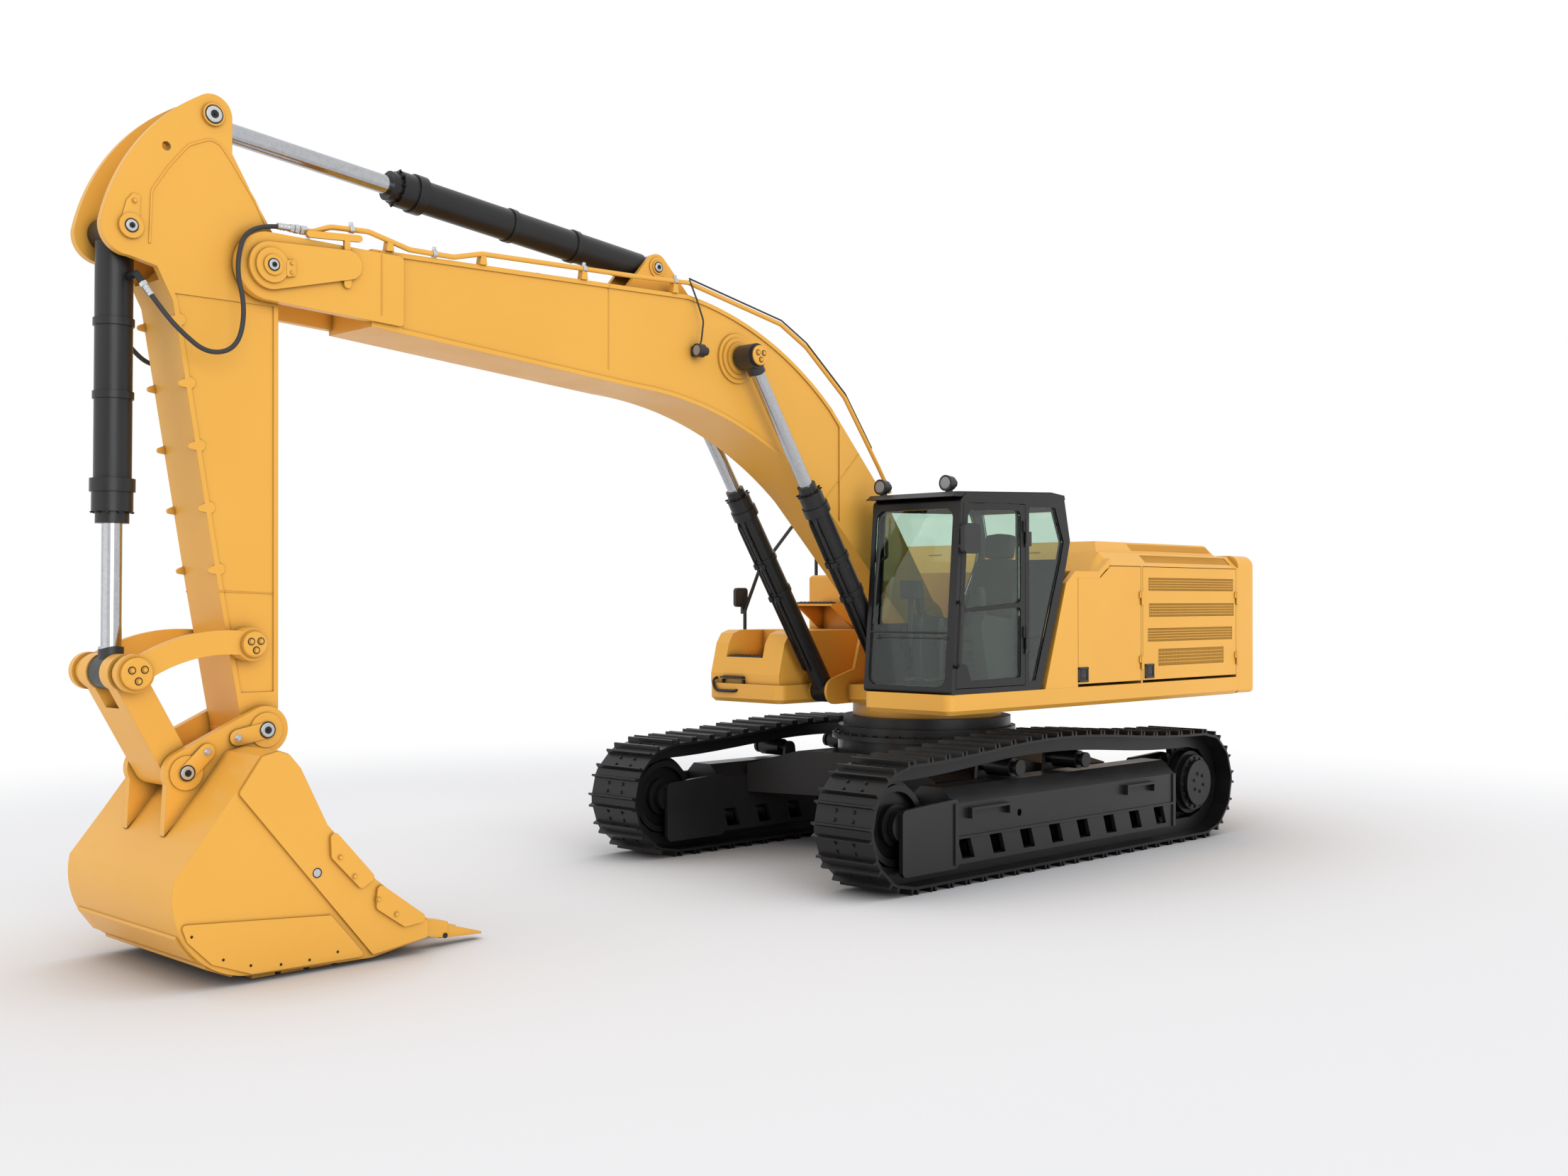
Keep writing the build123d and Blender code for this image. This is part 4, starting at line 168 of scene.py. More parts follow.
def pale_floor():
    """Floor with a painted shade under the machine, fading into the backdrop."""
    mesh = bpy.data.meshes.new("pale_floor")
    corners = [(x * FLOOR_REACH, y * FLOOR_REACH, 0) for x, y in ((-1, -1), (1, -1), (1, 1), (-1, 1))]
    mesh.from_pydata(corners, [], [(0, 1, 2, 3)])
    floor = placed("pale_floor", mesh)
    material = bpy.data.materials.new("floor_white")
    material.use_nodes = True
    tree = material.node_tree
    tree.nodes.clear()
    place = add(tree, "ShaderNodeTexCoord").outputs["Object"]
    distance = add(tree, "ShaderNodeVectorMath", {0: place}, operation="LENGTH").outputs["Value"]
    fade = span(tree, distance, FADE_START, FADE_END, curve="SMOOTHSTEP")
    # Painted shade: ambient occlusion darkens the floor colour near and under the machine.
    corner = add(tree, "ShaderNodeAmbientOcclusion", {"Distance": SHADE_REACH}, samples=SHADE_SAMPLES)
    shade = span(tree, corner.outputs["AO"], SHADE_CLOSED, SHADE_OPEN, SHADE_LEAST)
    diffuse = add(tree, "ShaderNodeBsdfDiffuse", {"Color": blend_colour(tree, shade, FLOOR_SHADE, FLOOR_COLOUR)})
    clear = add(tree, "ShaderNodeBsdfTransparent")
    mix = add(tree, "ShaderNodeMixShader", {"Fac": fade, 1: diffuse.outputs[0], 2: clear.outputs[0]})
    add(tree, "ShaderNodeOutputMaterial", {"Surface": mix.outputs[0]})
    mesh.materials.append(material)


photo_camera()
for sun in SOFT_SUNS:
    soft_sun(*sun)
white_studio()
pale_floor()


# Materials
DUST_COLOUR, DUST_SCALE = (0.42, 0.33, 0.22, 1.0), 2.6
PEEL_FINE, PEEL_WAVE, PEEL_DEPTH = 160.0, 2.2, 0.01
# Reach and samples of the painted shade in creases, and samples of the softened edges
CREASE_SHADE_REACH, CREASE_SHADE_SAMPLES, EDGE_SAMPLES = 0.10, 6, 3


def new_tree(name, kind, inputs, outputs):
    """Empty node group, and what it is given by its named inputs."""
    tree = bpy.data.node_groups.new(name, kind + "NodeTree")
    for way, sockets in (("INPUT", inputs), ("OUTPUT", outputs)):
        for label, socket in sockets.items():
            tree.interface.new_socket(label, in_out=way, socket_type="NodeSocket" + socket)
    return tree, add(tree, "NodeGroupInput").outputs


def finish_group(name, inputs, outputs):
    """Shader group of numbers that vary with a place."""
    given = {"Vector": "Vector", **dict.fromkeys(inputs, "Float")}
    return new_tree(name, "Shader", given, dict.fromkeys(outputs, "Float"))


def site_dust_group():
    """Dust that gathers on upward faces, with cloudy edges."""
    group, given = finish_group("site_dust", ("Scale", "Amount"), ("Mask", "Cloud"))
    normal = add(group, "ShaderNodeNewGeometry").outputs["Normal"]
    up = span(group, add(group, "ShaderNodeSeparateXYZ", {0: normal}).outputs["Z"], 0.2, 1.0)
    cloud = noise(group, given["Vector"], given["Scale"], 6.0, 0.62)
    patches = span(group, cloud, 0.42, 0.68)
    reach = sums(group, "ADD", sums(group, "MULTIPLY", up, 0.6), 0.4)
    mask = sums(group, "MULTIPLY", sums(group, "MULTIPLY", patches, reach), given["Amount"])
    add(group, "NodeGroupOutput", {"Mask": mask, "Cloud": cloud})
    return group


def orange_peel_group():
    """Fine ripple of sprayed paint over the slow waves of rolled plate."""
    group, given = finish_group("orange_peel", ("Fine", "Wave"), ("Height",))
    fine = noise(group, given["Vector"], given["Fine"], 2.0, 0.5)
    wave = noise(group, given["Vector"], given["Wave"], 2.0, 0.4)
    height = sums(group, "ADD", sums(group, "MULTIPLY", fine, 0.12), wave)
    add(group, "NodeGroupOutput", {"Height": height})
    return group


DUST = site_dust_group()
PEEL = orange_peel_group()
SLOT_OF = {}


def new_material(name, slot):
    """Material of a slot, with its tree, its shader and the place on the piece."""
    material = bpy.data.materials.new(name)
    material.use_nodes = True
    SLOT_OF[material.name] = slot
    tree = material.node_tree
    return material, tree, tree.nodes["Principled BSDF"], add(tree, "ShaderNodeTexCoord").outputs["Object"]


def painted(
    name, slot, colour, tint, roughness, dust, bump=0.06, metallic=0.0, edge=0.004, shine=0.5, crease_shade=0.0,
):
    """Coat with cloudy tone, dust, painted shade in the creases and softened edges."""
    material, tree, shader, place = new_material(name, slot)
    dirt = add(tree, "ShaderNodeGroup", node_tree=DUST)
    fill(tree, dirt, {"Vector": place, "Scale": DUST_SCALE, "Amount": dust})
    tone = span(tree, noise(tree, place, 0.9, 3.0, 0.5), 0.35, 0.65)
    coat = blend_colour(tree, tone, (*colour, 1.0), (*tint, 1.0))
    dust_and_shade = blend_colour(tree, dirt.outputs["Mask"], coat, DUST_COLOUR)
    # Painted shade: ambient occlusion darkens the colour in creases, recesses and between parts.
    if crease_shade:
        corner = add(tree, "ShaderNodeAmbientOcclusion", {"Distance": CREASE_SHADE_REACH}, samples=CREASE_SHADE_SAMPLES)
        unshaded = span(tree, corner.outputs["AO"], 0.30, 0.86)
        painted_shade_colour = (*(share * (1.0 - crease_shade) for share in colour), 1.0)
        dust_and_shade = blend_colour(tree, unshaded, painted_shade_colour, dust_and_shade)
    cloudy = span(tree, dirt.outputs["Cloud"], 0.3, 0.7, roughness - 0.04, roughness + 0.07)
    rough = sums(tree, "ADD", cloudy, sums(tree, "MULTIPLY", dirt.outputs["Mask"], 0.3))
    peel = add(tree, "ShaderNodeGroup", node_tree=PEEL)
    fill(tree, peel, {"Vector": place, "Fine": PEEL_FINE, "Wave": PEEL_WAVE})
    heights = {"Strength": bump, "Distance": PEEL_DEPTH, "Height": peel.outputs["Height"]}
    ripple = add(tree, "ShaderNodeBump", heights)
    if edge:
        soft = add(tree, "ShaderNodeBevel", {"Radius": edge}, samples=EDGE_SAMPLES)
        fill(tree, ripple, {"Normal": soft.outputs["Normal"]})
    fill(tree, shader, {
        "Base Color": dust_and_shade, "Roughness": rough, "Metallic": metallic, "Specular IOR Level": shine,
        "Normal": ripple.outputs["Normal"],
    })
    return material


# The crease value sets how deep the painted shade in the creases goes.
YELLOW = painted(
    "yellow_paint_coat", "yellow_paint", (0.86, 0.440, 0.070), (0.83, 0.420, 0.064), 0.34, 0.03, shine=0.3, crease_shade=0.72,
)
# Painted shade: a darker copy of the yellow paint for the mesh bars, as if they sat in shadow.
MESH_SHADED_YELLOW = painted(
    "louvre_painted_shade_coat", "yellow_paint", (0.66, 0.350, 0.066), (0.61, 0.320, 0.060), 0.5, 0.05, shine=0.2,
)
BLACK = painted(
    "black_paint_coat", "black_paint", (0.013, 0.0125, 0.013), (0.018, 0.0175, 0.018), 0.32, 0.012,
    shine=0.34, crease_shade=0.8,
)
CAB_BLACK = painted(
    "cab_frame_coat", "cab_paint", (0.011, 0.0105, 0.0115), (0.015, 0.0145, 0.0155), 0.28, 0.010,
    shine=0.3, crease_shade=0.7,
)
TRACK = painted(
    "track_iron", "track_steel", (0.007, 0.0065, 0.007), (0.010, 0.0095, 0.010), 0.32, 0.010,
    bump=0.12, shine=0.30, crease_shade=0.7,
)
PLASTIC = painted("console_plastic", "dark_plastic", (0.045, 0.045, 0.05), (0.06, 0.06, 0.065), 0.55, 0.05, bump=0.1)
LAMP_BLACK = painted("lamp_housing", "black_paint", (0.014, 0.014, 0.015), (0.02, 0.02, 0.021), 0.45, 0.03, bump=0.15)
FABRIC = painted("seat_weave", "seat_fabric", (0.05, 0.05, 0.055), (0.07, 0.07, 0.075), 0.85, 0.04, bump=0.3)
IRON = painted("engine_iron_cast", "engine_iron", (0.10, 0.10, 0.10), (0.15, 0.15, 0.15), 0.6, 0.2, bump=0.3)
RUBBER = painted(
    "hose_cover", "hose_rubber", (0.022, 0.023, 0.024), (0.03, 0.03, 0.031), 0.62, 0.05, bump=0.25, edge=0,
)
ZINC = painted(
    "zinc_plate", "rod_chrome", (0.62, 0.63, 0.64), (0.52, 0.53, 0.54), 0.30, 0.03, bump=0.05, metallic=1.0,
)
LENS = painted("lamp_lens", "rod_chrome", (0.20, 0.21, 0.22), (0.30, 0.31, 0.32), 0.08, 0.0, bump=0.3)
MIRROR_GLASS = painted(
    "mirror_silver", "rod_chrome", (0.80, 0.82, 0.84), (0.76, 0.78, 0.80), 0.04, 0.0, bump=0.0, metallic=1.0, edge=0,
)
RED_LENS = painted("red_reflector", "black_paint", (0.45, 0.012, 0.010), (0.36, 0.010, 0.010), 0.18, 0.02, bump=0.3)
SCREEN = painted(
    "monitor_screen", "dark_plastic", (0.012, 0.016, 0.020), (0.02, 0.026, 0.03), 0.12, 0.0, bump=0.0, edge=0,
)

# Swing axis in the part's frame, in metres, and pins of the side view from that axis, in millimetres
SWING = -2.05
BOOM_NOSE, LIFT_BASE, LIFT_ROD = (6830, 4388), (930, 1455), (2726, 4234)
STICK_BASE, STICK_TOP, BUCKET_BASE = (3479, 4880), (7170, 5287), (7686, 4515)
STICK_NOSE, LINK_STICK = (6839, 1464), (6956, 2006)
LINK_ROD, LINK_BUCKET = (7700, 1846), (7363, 1232)
ROD_EYE_REACH = 0.158
CHROME_TONES, EYE_BLACK = ((0.50, 0.51, 0.53, 1), (0.42, 0.43, 0.45, 1)), (0.02, 0.02, 0.021, 1)
GLASS_TONES, GLASS_IOR = ((0.70, 0.82, 0.74, 1), (0.64, 0.78, 0.69, 1)), 1.4


def spot(x, y, z):
    """Place given in millimetres from the swing axis at ground level."""
    return Vector((x / 1000 + SWING, y / 1000, z / 1000))


def chrome_rods():
    """Chrome plate on the shafts, black paint around the eyes."""
    material, tree, shader, place = new_material("rod_chrome_plate", "rod_chrome")
    flat = add(tree, "ShaderNodeVectorMath", {0: place, 1: (1.0, 0.0, 1.0)}, operation="MULTIPLY").outputs[0]
    eyes = None
    for x, z in (LIFT_ROD, STICK_TOP, LINK_ROD):
        gap = add(tree, "ShaderNodeVectorMath", {0: flat, 1: spot(x, 0, z)}, operation="DISTANCE")
        near = sums(tree, "LESS_THAN", gap.outputs["Value"], ROD_EYE_REACH)
        eyes = near if eyes is None else sums(tree, "MAXIMUM", eyes, near)
    streak = noise(tree, place, 40.0, 3.0, 0.6)
    plate = blend_colour(tree, span(tree, streak, 0.3, 0.7), *CHROME_TONES)
    rough = span(tree, streak, 0.3, 0.7, 0.10, 0.17)
    fill(tree, shader, {
        "Base Color": blend_colour(tree, eyes, plate, EYE_BLACK),
        "Metallic": sums(tree, "SUBTRACT", 1.0, eyes),
        "Roughness": sums(tree, "ADD", rough, sums(tree, "MULTIPLY", eyes, 0.28)),
    })
    return material


def tinted_glass():
    """Green panes with a faint haze."""
    material, tree, shader, place = new_material("green_tint_glass", "tinted_glass")
    haze = noise(tree, place, 3.0, 4.0, 0.6)
    fill(tree, shader, {
        "Base Color": blend_colour(tree, span(tree, haze, 0.3, 0.7), *GLASS_TONES),
        "Roughness": span(tree, haze, 0.35, 0.75, 0.0, 0.04),
        "Transmission Weight": 1.0, "IOR": GLASS_IOR,
    })
    return material


CAD_FINISHES = (YELLOW, BLACK, CAB_BLACK, TRACK, chrome_rods(), tinted_glass(), FABRIC, PLASTIC, IRON, RUBBER)
BY_SLOT = {SLOT_OF[finish.name]: finish for finish in CAD_FINISHES}
BY_NODE = {"roof_lamps": LAMP_BLACK, "boom_lamp": LAMP_BLACK, "mirrors": LAMP_BLACK}
for row in frame["record"]["subparts"]:
    mesh = NODES[row["node"]].data
    mesh.materials.clear()
    mesh.materials.append(BY_NODE.get(row["node"], BY_SLOT[row["material_slot"]]))


# Trees that make what repeats or follows a line
BOLT_FORMS = ((6, 1.0, 0.7, 0.55), (14, 1.4, 0.24, 0.10))  # head and washer: sides, radius, depth, lift
BEND_STEPS, LINE_SIDES = 5, 10


def rule_tree(name, **sizes):
    """Geometry tree with points or lines in, a painted mesh out and named sizes."""
    shape = {"Geometry": "Geometry"}
    return new_tree(name, "Geometry", {**shape, **sizes, "Finish": "Material"}, shape)


def finished(tree, mesh, finish, smooth=False):
    """Realize, shade and paint a tree's result."""
    last = add(tree, "GeometryNodeRealizeInstances", {0: mesh}).outputs[0]
    if smooth:
        last = add(tree, "GeometryNodeSetShadeSmooth", {0: last}).outputs[0]
    coat = add(tree, "GeometryNodeSetMaterial", {"Geometry": last, "Material": finish})
    add(tree, "NodeGroupOutput", {0: coat.outputs[0]})
    return tree


def hex_bolt_tree():
    """Hex heads on washers, standing along each point's facing."""
    tree, given = rule_tree("hex_bolts", Size="Float")
    both = add(tree, "GeometryNodeJoinGeometry")
    for sides, radius, depth, lift in BOLT_FORMS:
        bar = add(tree, "GeometryNodeMeshCylinder", {"Vertices": sides, "Radius": radius, "Depth": depth})
        move = add(tree, "GeometryNodeTransform", {"Geometry": bar.outputs["Mesh"], "Translation": (0.0, 0.0, lift)})
        fill(tree, both, {0: move.outputs[0]})
    facing = add(tree, "GeometryNodeInputNamedAttribute", {"Name": "facing"}, data_type="FLOAT_VECTOR")
    turn = add(tree, "FunctionNodeAlignRotationToVector", {"Vector": facing.outputs["Attribute"]}, axis="Z")
    spread = add(tree, "GeometryNodeInstanceOnPoints", {
        "Points": given["Geometry"], "Instance": both.outputs[0], "Rotation": turn.outputs[0], "Scale": given["Size"],
    })
    return finished(tree, spread.outputs[0], given["Finish"])


def round_line_tree():
    """Round bars along lines, with eased corners."""
    tree, given = rule_tree("round_lines", Radius="Float", Bend="Float")
    line = add(tree, "GeometryNodeMeshToCurve", {"Mesh": given["Geometry"]})
    bends = {"Curve": line.outputs[0], "Count": BEND_STEPS, "Limit Radius": True, "Radius": given["Bend"]}
    ease = add(tree, "GeometryNodeFilletCurve", bends, mode="POLY")
    ring = add(tree, "GeometryNodeCurvePrimitiveCircle", {"Resolution": LINE_SIDES, "Radius": given["Radius"]})
    ends = {"Curve": ease.outputs[0], "Profile Curve": ring.outputs[0], "Fill Caps": True}
    tube = add(tree, "GeometryNodeCurveToMesh", ends)
    return finished(tree, tube.outputs[0], given["Finish"], smooth=True)


def weld_tree():
    """Overlapping drops along lines."""
    tree, given = rule_tree("weld_beads", Size="Float")
    line = add(tree, "GeometryNodeMeshToCurve", {"Mesh": given["Geometry"]})
    steps = {"Curve": line.outputs[0], "Length": given["Size"]}
    places = add(tree, "GeometryNodeResampleCurve", steps, mode="LENGTH")
    drop = add(tree, "GeometryNodeMeshIcoSphere", {"Radius": 1.0, "Subdivisions": 1})
    spread = add(tree, "GeometryNodeInstanceOnPoints", {
        "Points": places.outputs[0], "Instance": drop.outputs["Mesh"], "Scale": given["Size"],
    })
    return finished(tree, spread.outputs[0], given["Finish"], smooth=True)


def slat_tree():
    """A bar at each point."""
    tree, given = rule_tree("slats", Bar="Vector")
    bar = add(tree, "GeometryNodeMeshCube", {"Size": given["Bar"]})
    spread = add(tree, "GeometryNodeInstanceOnPoints", {"Points": given["Geometry"], "Instance": bar.outputs["Mesh"]})
    return finished(tree, spread.outputs[0], given["Finish"])


HEX_BOLTS, ROUND_LINES, WELD_BEADS, SLATS = hex_bolt_tree(), round_line_tree(), weld_tree(), slat_tree()


# Pieces made by the trees
def mounted(piece, body):
    """Carry a piece by its body."""
    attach(piece, body)


def plain_mesh(piece, rule):
    """Make a piece's modifier part of its mesh."""
    graph = bpy.context.evaluated_depsgraph_get()
    mesh = bpy.data.meshes.new_from_object(piece.evaluated_get(graph), depsgraph=graph)
    piece.modifiers.remove(rule)
    piece.data = mesh
    mesh.name = piece.name


def made_by(tree, mesh, name, values, finish, body):
    """Piece that a tree makes from a mesh of points or lines."""
    piece = placed(name, mesh)
    rule = piece.modifiers.new("rule", "NODES")
    rule.node_group = tree
    values = {**values, "Finish": finish}
    for item in tree.interface.items_tree:
        if item.in_out == "INPUT" and item.name in values:
            rule[item.identifier] = values[item.name]
    plain_mesh(piece, rule)
    mounted(piece, body)


def bolts(name, rows, size, finish, body):
    """Hex bolts with washers at (place, facing) rows."""
    mesh = bpy.data.meshes.new(name + "_places")
    mesh.from_pydata([place for place, facing in rows], [], [])
    ways = mesh.attributes.new("facing", "FLOAT_VECTOR", "POINT")
    for item, (place, facing) in zip(ways.data, rows):
        item.vector = facing
    made_by(HEX_BOLTS, mesh, name, {"Size": size}, finish, body)


def line_mesh(name, routes):
    """Mesh of open lines."""
    points, edges = [], []
    for route in routes:
        start = len(points)
        points.extend(route)
        edges.extend((start + index, start + index + 1) for index in range(len(route) - 1))
    mesh = bpy.data.meshes.new(name + "_lines")
    mesh.from_pydata(points, edges, [])
    return mesh


def lines(name, routes, radius, bend, finish, body):
    """Round pipes, cables or bars along routes with eased corners."""
    made_by(ROUND_LINES, line_mesh(name, routes), name, {"Radius": radius, "Bend": bend}, finish, body)


def welds(name, routes, body):
    made_by(WELD_BEADS, line_mesh(name, routes), name, {"Size": WELD_SIZE}, YELLOW, body)


def slats(name, places, bar, finish, body):
    mesh = bpy.data.meshes.new(name + "_places")
    mesh.from_pydata(places, [], [])
    made_by(SLATS, mesh, name, {"Bar": bar}, finish, body)


# Places on the solids
WELD_SIZE = 0.006
RAY_REACH, SIDE_START, TOP_START = 12.0, 2500, 6200
SURFACES = {}


def surface(node, start, way):
    """Where a line meets a node's surface, and the way that surface faces."""
    if node not in SURFACES:
        mesh = NODES[node].data
        SURFACES[node] = BVHTree.FromPolygons([v.co for v in mesh.vertices], [p.vertices for p in mesh.polygons])
    place, facing, index, distance = SURFACES[node].ray_cast(Vector(start), Vector(way).normalized(), RAY_REACH)
    return (place, facing) if place is not None else None


def from_side(node, x, z, sign):
    """Surface of a node met from the machine's left (1) or right (-1) side."""
    return surface(node, spot(x, sign * SIDE_START, z), (0, -sign, 0))


def from_top(node, x, y):
    return surface(node, spot(x, y, TOP_START), -UP)


def angles(count, turn=0.0):
    """Even steps of a full turn."""
    return [turn + 2 * math.pi * index / count for index in range(count)]


def side_hits(node, places, sign):
    """Surfaces that are met at some places of a node's side."""
    return [met for met in (from_side(node, x, z, sign) for x, z in places) if met]


def circle_rows(node, x, z, radius, count, sign, turn):
    """Bolt places in a ring on a node's side face."""
    places = [(x + radius * math.cos(angle), z + radius * math.sin(angle)) for angle in angles(count, turn)]
    return side_hits(node, places, sign)


# Solid forms with softened edges
def softened(work, rims, offset):
    bmesh.ops.bevel(work, geom=list(rims), offset=offset, segments=2, affect="EDGES", profile=0.5)


def box_form(work, low, high, edge):
    made = bmesh.ops.create_cube(work, size=1.0)["verts"]
    size = high - low
    bmesh.ops.scale(work, vec=size, verts=made)
    bmesh.ops.translate(work, vec=(low + high) / 2, verts=made)
    softened(work, {rim for corner in made for rim in corner.link_edges}, min(edge, min(size) * 0.4))


def blocks(work, *rows):
    """Boxes between two corners in millimetres, each with the radius of its edges in metres."""
    for low, high, edge in rows:
        box_form(work, spot(*low), spot(*high), edge)
    return work


def box_at(work, place, low, high):
    """Small box between two corners given from a place."""
    box_form(work, place + Vector(low), place + Vector(high), 0.003)


def upright(facing):
    """Turn that stands a form along a facing."""
    return UP.rotation_difference(Vector(facing)).to_matrix()


def round_form(work, place, facing, radius, depth, sides=28, edge=0.12):
    """Turned disc that stands on a place, its upper rim chamfered."""
    turn = upright(facing).to_4x4()
    rim = min(edge * radius, depth * 0.4)
    for upper, start, length in ((radius, 0.0, depth - rim), (radius - rim, depth - rim, rim)):
        matrix = Matrix.Translation(place) @ turn @ Matrix.Translation((0, 0, start + length / 2))
        bmesh.ops.create_cone(
            work, cap_ends=True, segments=sides, radius1=radius, radius2=upper, depth=length, matrix=matrix,
        )


def ring_form(work, place, facing, radius, thick, sides=32, round_sides=10):
    """Torus on a place."""
    turn = upright(facing)
    loops = []
    for angle in angles(sides):
        out = Vector((math.cos(angle), math.sin(angle), 0))
        loops.append([
            work.verts.new(place + turn @ (out * (radius + thick * math.cos(tilt)) + UP * (thick * math.sin(tilt))))
            for tilt in angles(round_sides)
        ])
    for step, here in enumerate(loops):
        ahead = loops[(step + 1) % sides]
        for part in range(round_sides):
            after = (part + 1) % round_sides
            work.faces.new((here[part], ahead[part], ahead[after], here[after]))


def prism(work, outline, y_low, y_high):
    """Faces of a plate with an outline in the side view, in millimetres."""
    near, far = ([work.verts.new(spot(x, y, z)) for x, z in outline] for y in (y_low, y_high))
    faces = [work.faces.new(near), work.faces.new(list(reversed(far)))]
    for index in range(len(outline)):
        after = (index + 1) % len(outline)
        faces.append(work.faces.new((near[after], near[index], far[index], far[after])))
    bmesh.ops.recalc_face_normals(work, faces=faces)
    return faces


def shaped(work, name, finish, angle=40.0):
    """Close a set of forms into a piece that is not yet carried."""
    bmesh.ops.recalc_face_normals(work, faces=work.faces)
    mesh = bpy.data.meshes.new(name)
    work.to_mesh(mesh)
    work.free()
    mesh.materials.append(finish)
    mesh.shade_smooth()
    mesh.set_sharp_from_angle(angle=math.radians(angle))
    return placed(name, mesh)


def formed(work, name, finish, body):
    """Close a set of forms into a piece that rides on a body."""
    mounted(shaped(work, name, finish), body)


# Hoses from the boom pipes to the bucket cylinder
HOSE_RADIUS, HOSE_SIDES, HOSE_STEPS = 0.015, 14, 14
HOSE_ROUTE = (
    (6661.3, 280, 4655), (6960, 280, 4655), (7095, 370, 4350), (7040, 400, 4080), (7090, 400, 3830),
    (7280, 395, 3770), (7450, 370, 3900), (7550, 307, 4045), (7612, 235, 4180),
)
SLEEVE_LENGTH, NUT_LENGTH, FERRULE_START = 0.10, 0.085, 0.006


def hose_path(route):
    """Points along the smooth line of a hose's route."""
    data = bpy.data.curves.new("hose_line", "CURVE")
    data.dimensions = "3D"
    data.resolution_u = HOSE_STEPS
    spline = data.splines.new("NURBS")
    spline.points.add(len(route) - 1)
    for point, place in zip(spline.points, route):
        point.co = (*place, 1.0)
    spline.order_u = 3
    spline.use_endpoint_u = True
    guide = placed("hose_line", data)
    graph = bpy.context.evaluated_depsgraph_get()
    mesh = bpy.data.meshes.new_from_object(guide.evaluated_get(graph), depsgraph=graph)
    path = [corner.co.copy() for corner in mesh.vertices]
    bpy.data.objects.remove(guide)
    bpy.data.meshes.remove(mesh)
    return path


def hose_form(path):
    """Capped tube that follows a path without twisting."""
    work, side, loops = bmesh.new(), None, []
    for index, place in enumerate(path):
        ahead = (path[min(index + 1, len(path) - 1)] - path[max(index - 1, 0)]).normalized()
        side = ahead.orthogonal() if side is None else side
        side = (side - ahead * side.dot(ahead)).normalized()
        other = ahead.cross(side)
        loops.append([
            work.verts.new(place + (side * math.cos(angle) + other * math.sin(angle)) * HOSE_RADIUS)
            for angle in angles(HOSE_SIDES)
        ])
    for here, after in zip(loops, loops[1:]):
        for step in range(HOSE_SIDES):
            beside = (step + 1) % HOSE_SIDES
            work.faces.new((here[step], here[beside], after[beside], after[step]))
    work.faces.new(list(reversed(loops[0])))
    work.faces.new(loops[-1])
    return work


def ferrule(near, far, length):
    """Crimped sleeve with three ridges and a hex nut where a hose ends."""
    work = bmesh.new()
    way = (far - near).normalized()
    foot = near + way * FERRULE_START
    round_form(work, foot, way, 0.021, length, sides=20)
    for share in (0.25, 0.5, 0.75):
        ring_form(work, foot + way * length * share, way, 0.0205, 0.003, sides=20, round_sides=6)
    round_form(work, foot - way * 0.012, way, 0.027, 0.026, sides=6, edge=0.06)
    return work


for side_name, sign in SIDES:
    path = hose_path([spot(x, sign * y, z) for x, y, z in HOSE_ROUTE])
    hose = shaped(hose_form(path), "hose_tube_" + side_name, RUBBER)
    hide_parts("stick_hose_" + side_name)
    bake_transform(hose)
    formed(ferrule(path[0], path[1], SLEEVE_LENGTH), "hose_sleeve_" + side_name, ZINC, "boom")
    formed(ferrule(path[-1], path[-2], NUT_LENGTH), "hose_nut_" + side_name, ZINC, "bucket_barrel")


# Bolts of the track shoes, final drives and swing ring
SHOE_AREA_LOW, SHOE_AREA_HIGH, SHOE_TILT, SHOE_APART = 0.02, 0.07, 0.2, 0.05
SHOE_BOLT_ACROSS, SHOE_BOLT_ALONG = 0.095, 0.036
DRIVE_CENTRE = (-2180, 524)
DRIVE_RINGS = ((235, 16, 0.0), (88, 6, 0.3))  # radius, count and turn
RING_BOLTS, RING_RADIUS, RING_TOP = 40, 855, 1050


def shoe_bolts(node):
    """Four bolts on each shoe, found from its flat plate."""
    mesh = NODES[node].data
    rows, seen = [], []
    middle = sum(corner.co.y for corner in mesh.vertices) / len(mesh.vertices)
    for face in mesh.polygons:
        if not SHOE_AREA_LOW < face.area < SHOE_AREA_HIGH or abs(face.normal.y) > SHOE_TILT:
            continue
        corners = [mesh.vertices[index].co for index in face.vertices]
        pairs = [(corners[index], corners[index - 1]) for index in range(len(corners))]
        first, second = max(pairs, key=lambda pair: (pair[0] - pair[1]).length)
        centre = (first + second) / 2
        if any((centre - other).length < SHOE_APART for other in seen):
            continue
        seen.append(centre)
        along = face.normal.cross(ACROSS).normalized()
        for across in (-SHOE_BOLT_ACROSS, SHOE_BOLT_ACROSS):
            for step in (-SHOE_BOLT_ALONG, SHOE_BOLT_ALONG):
                place = Vector((centre.x, middle + across, centre.z)) + along * step
                rows.append((place, face.normal.copy()))
    return rows


for side_name, sign in SIDES:
    bolts("shoe_bolts_" + side_name, shoe_bolts("track_" + side_name), 0.013, TRACK, "undercarriage")
rows = []
for sign in SIGNS:
    for radius, count, turn in DRIVE_RINGS:
        rows += circle_rows("drive_sprockets", *DRIVE_CENTRE, radius, count, sign, turn)
bolts("drive_bolts", rows, 0.014, BLACK, "undercarriage")
rows = [
    (spot(RING_RADIUS * math.cos(angle), RING_RADIUS * math.sin(angle), RING_TOP), UP)
    for angle in angles(RING_BOLTS, math.pi / RING_BOLTS)
]
bolts("ring_bolts", rows, 0.015, BLACK, "undercarriage")


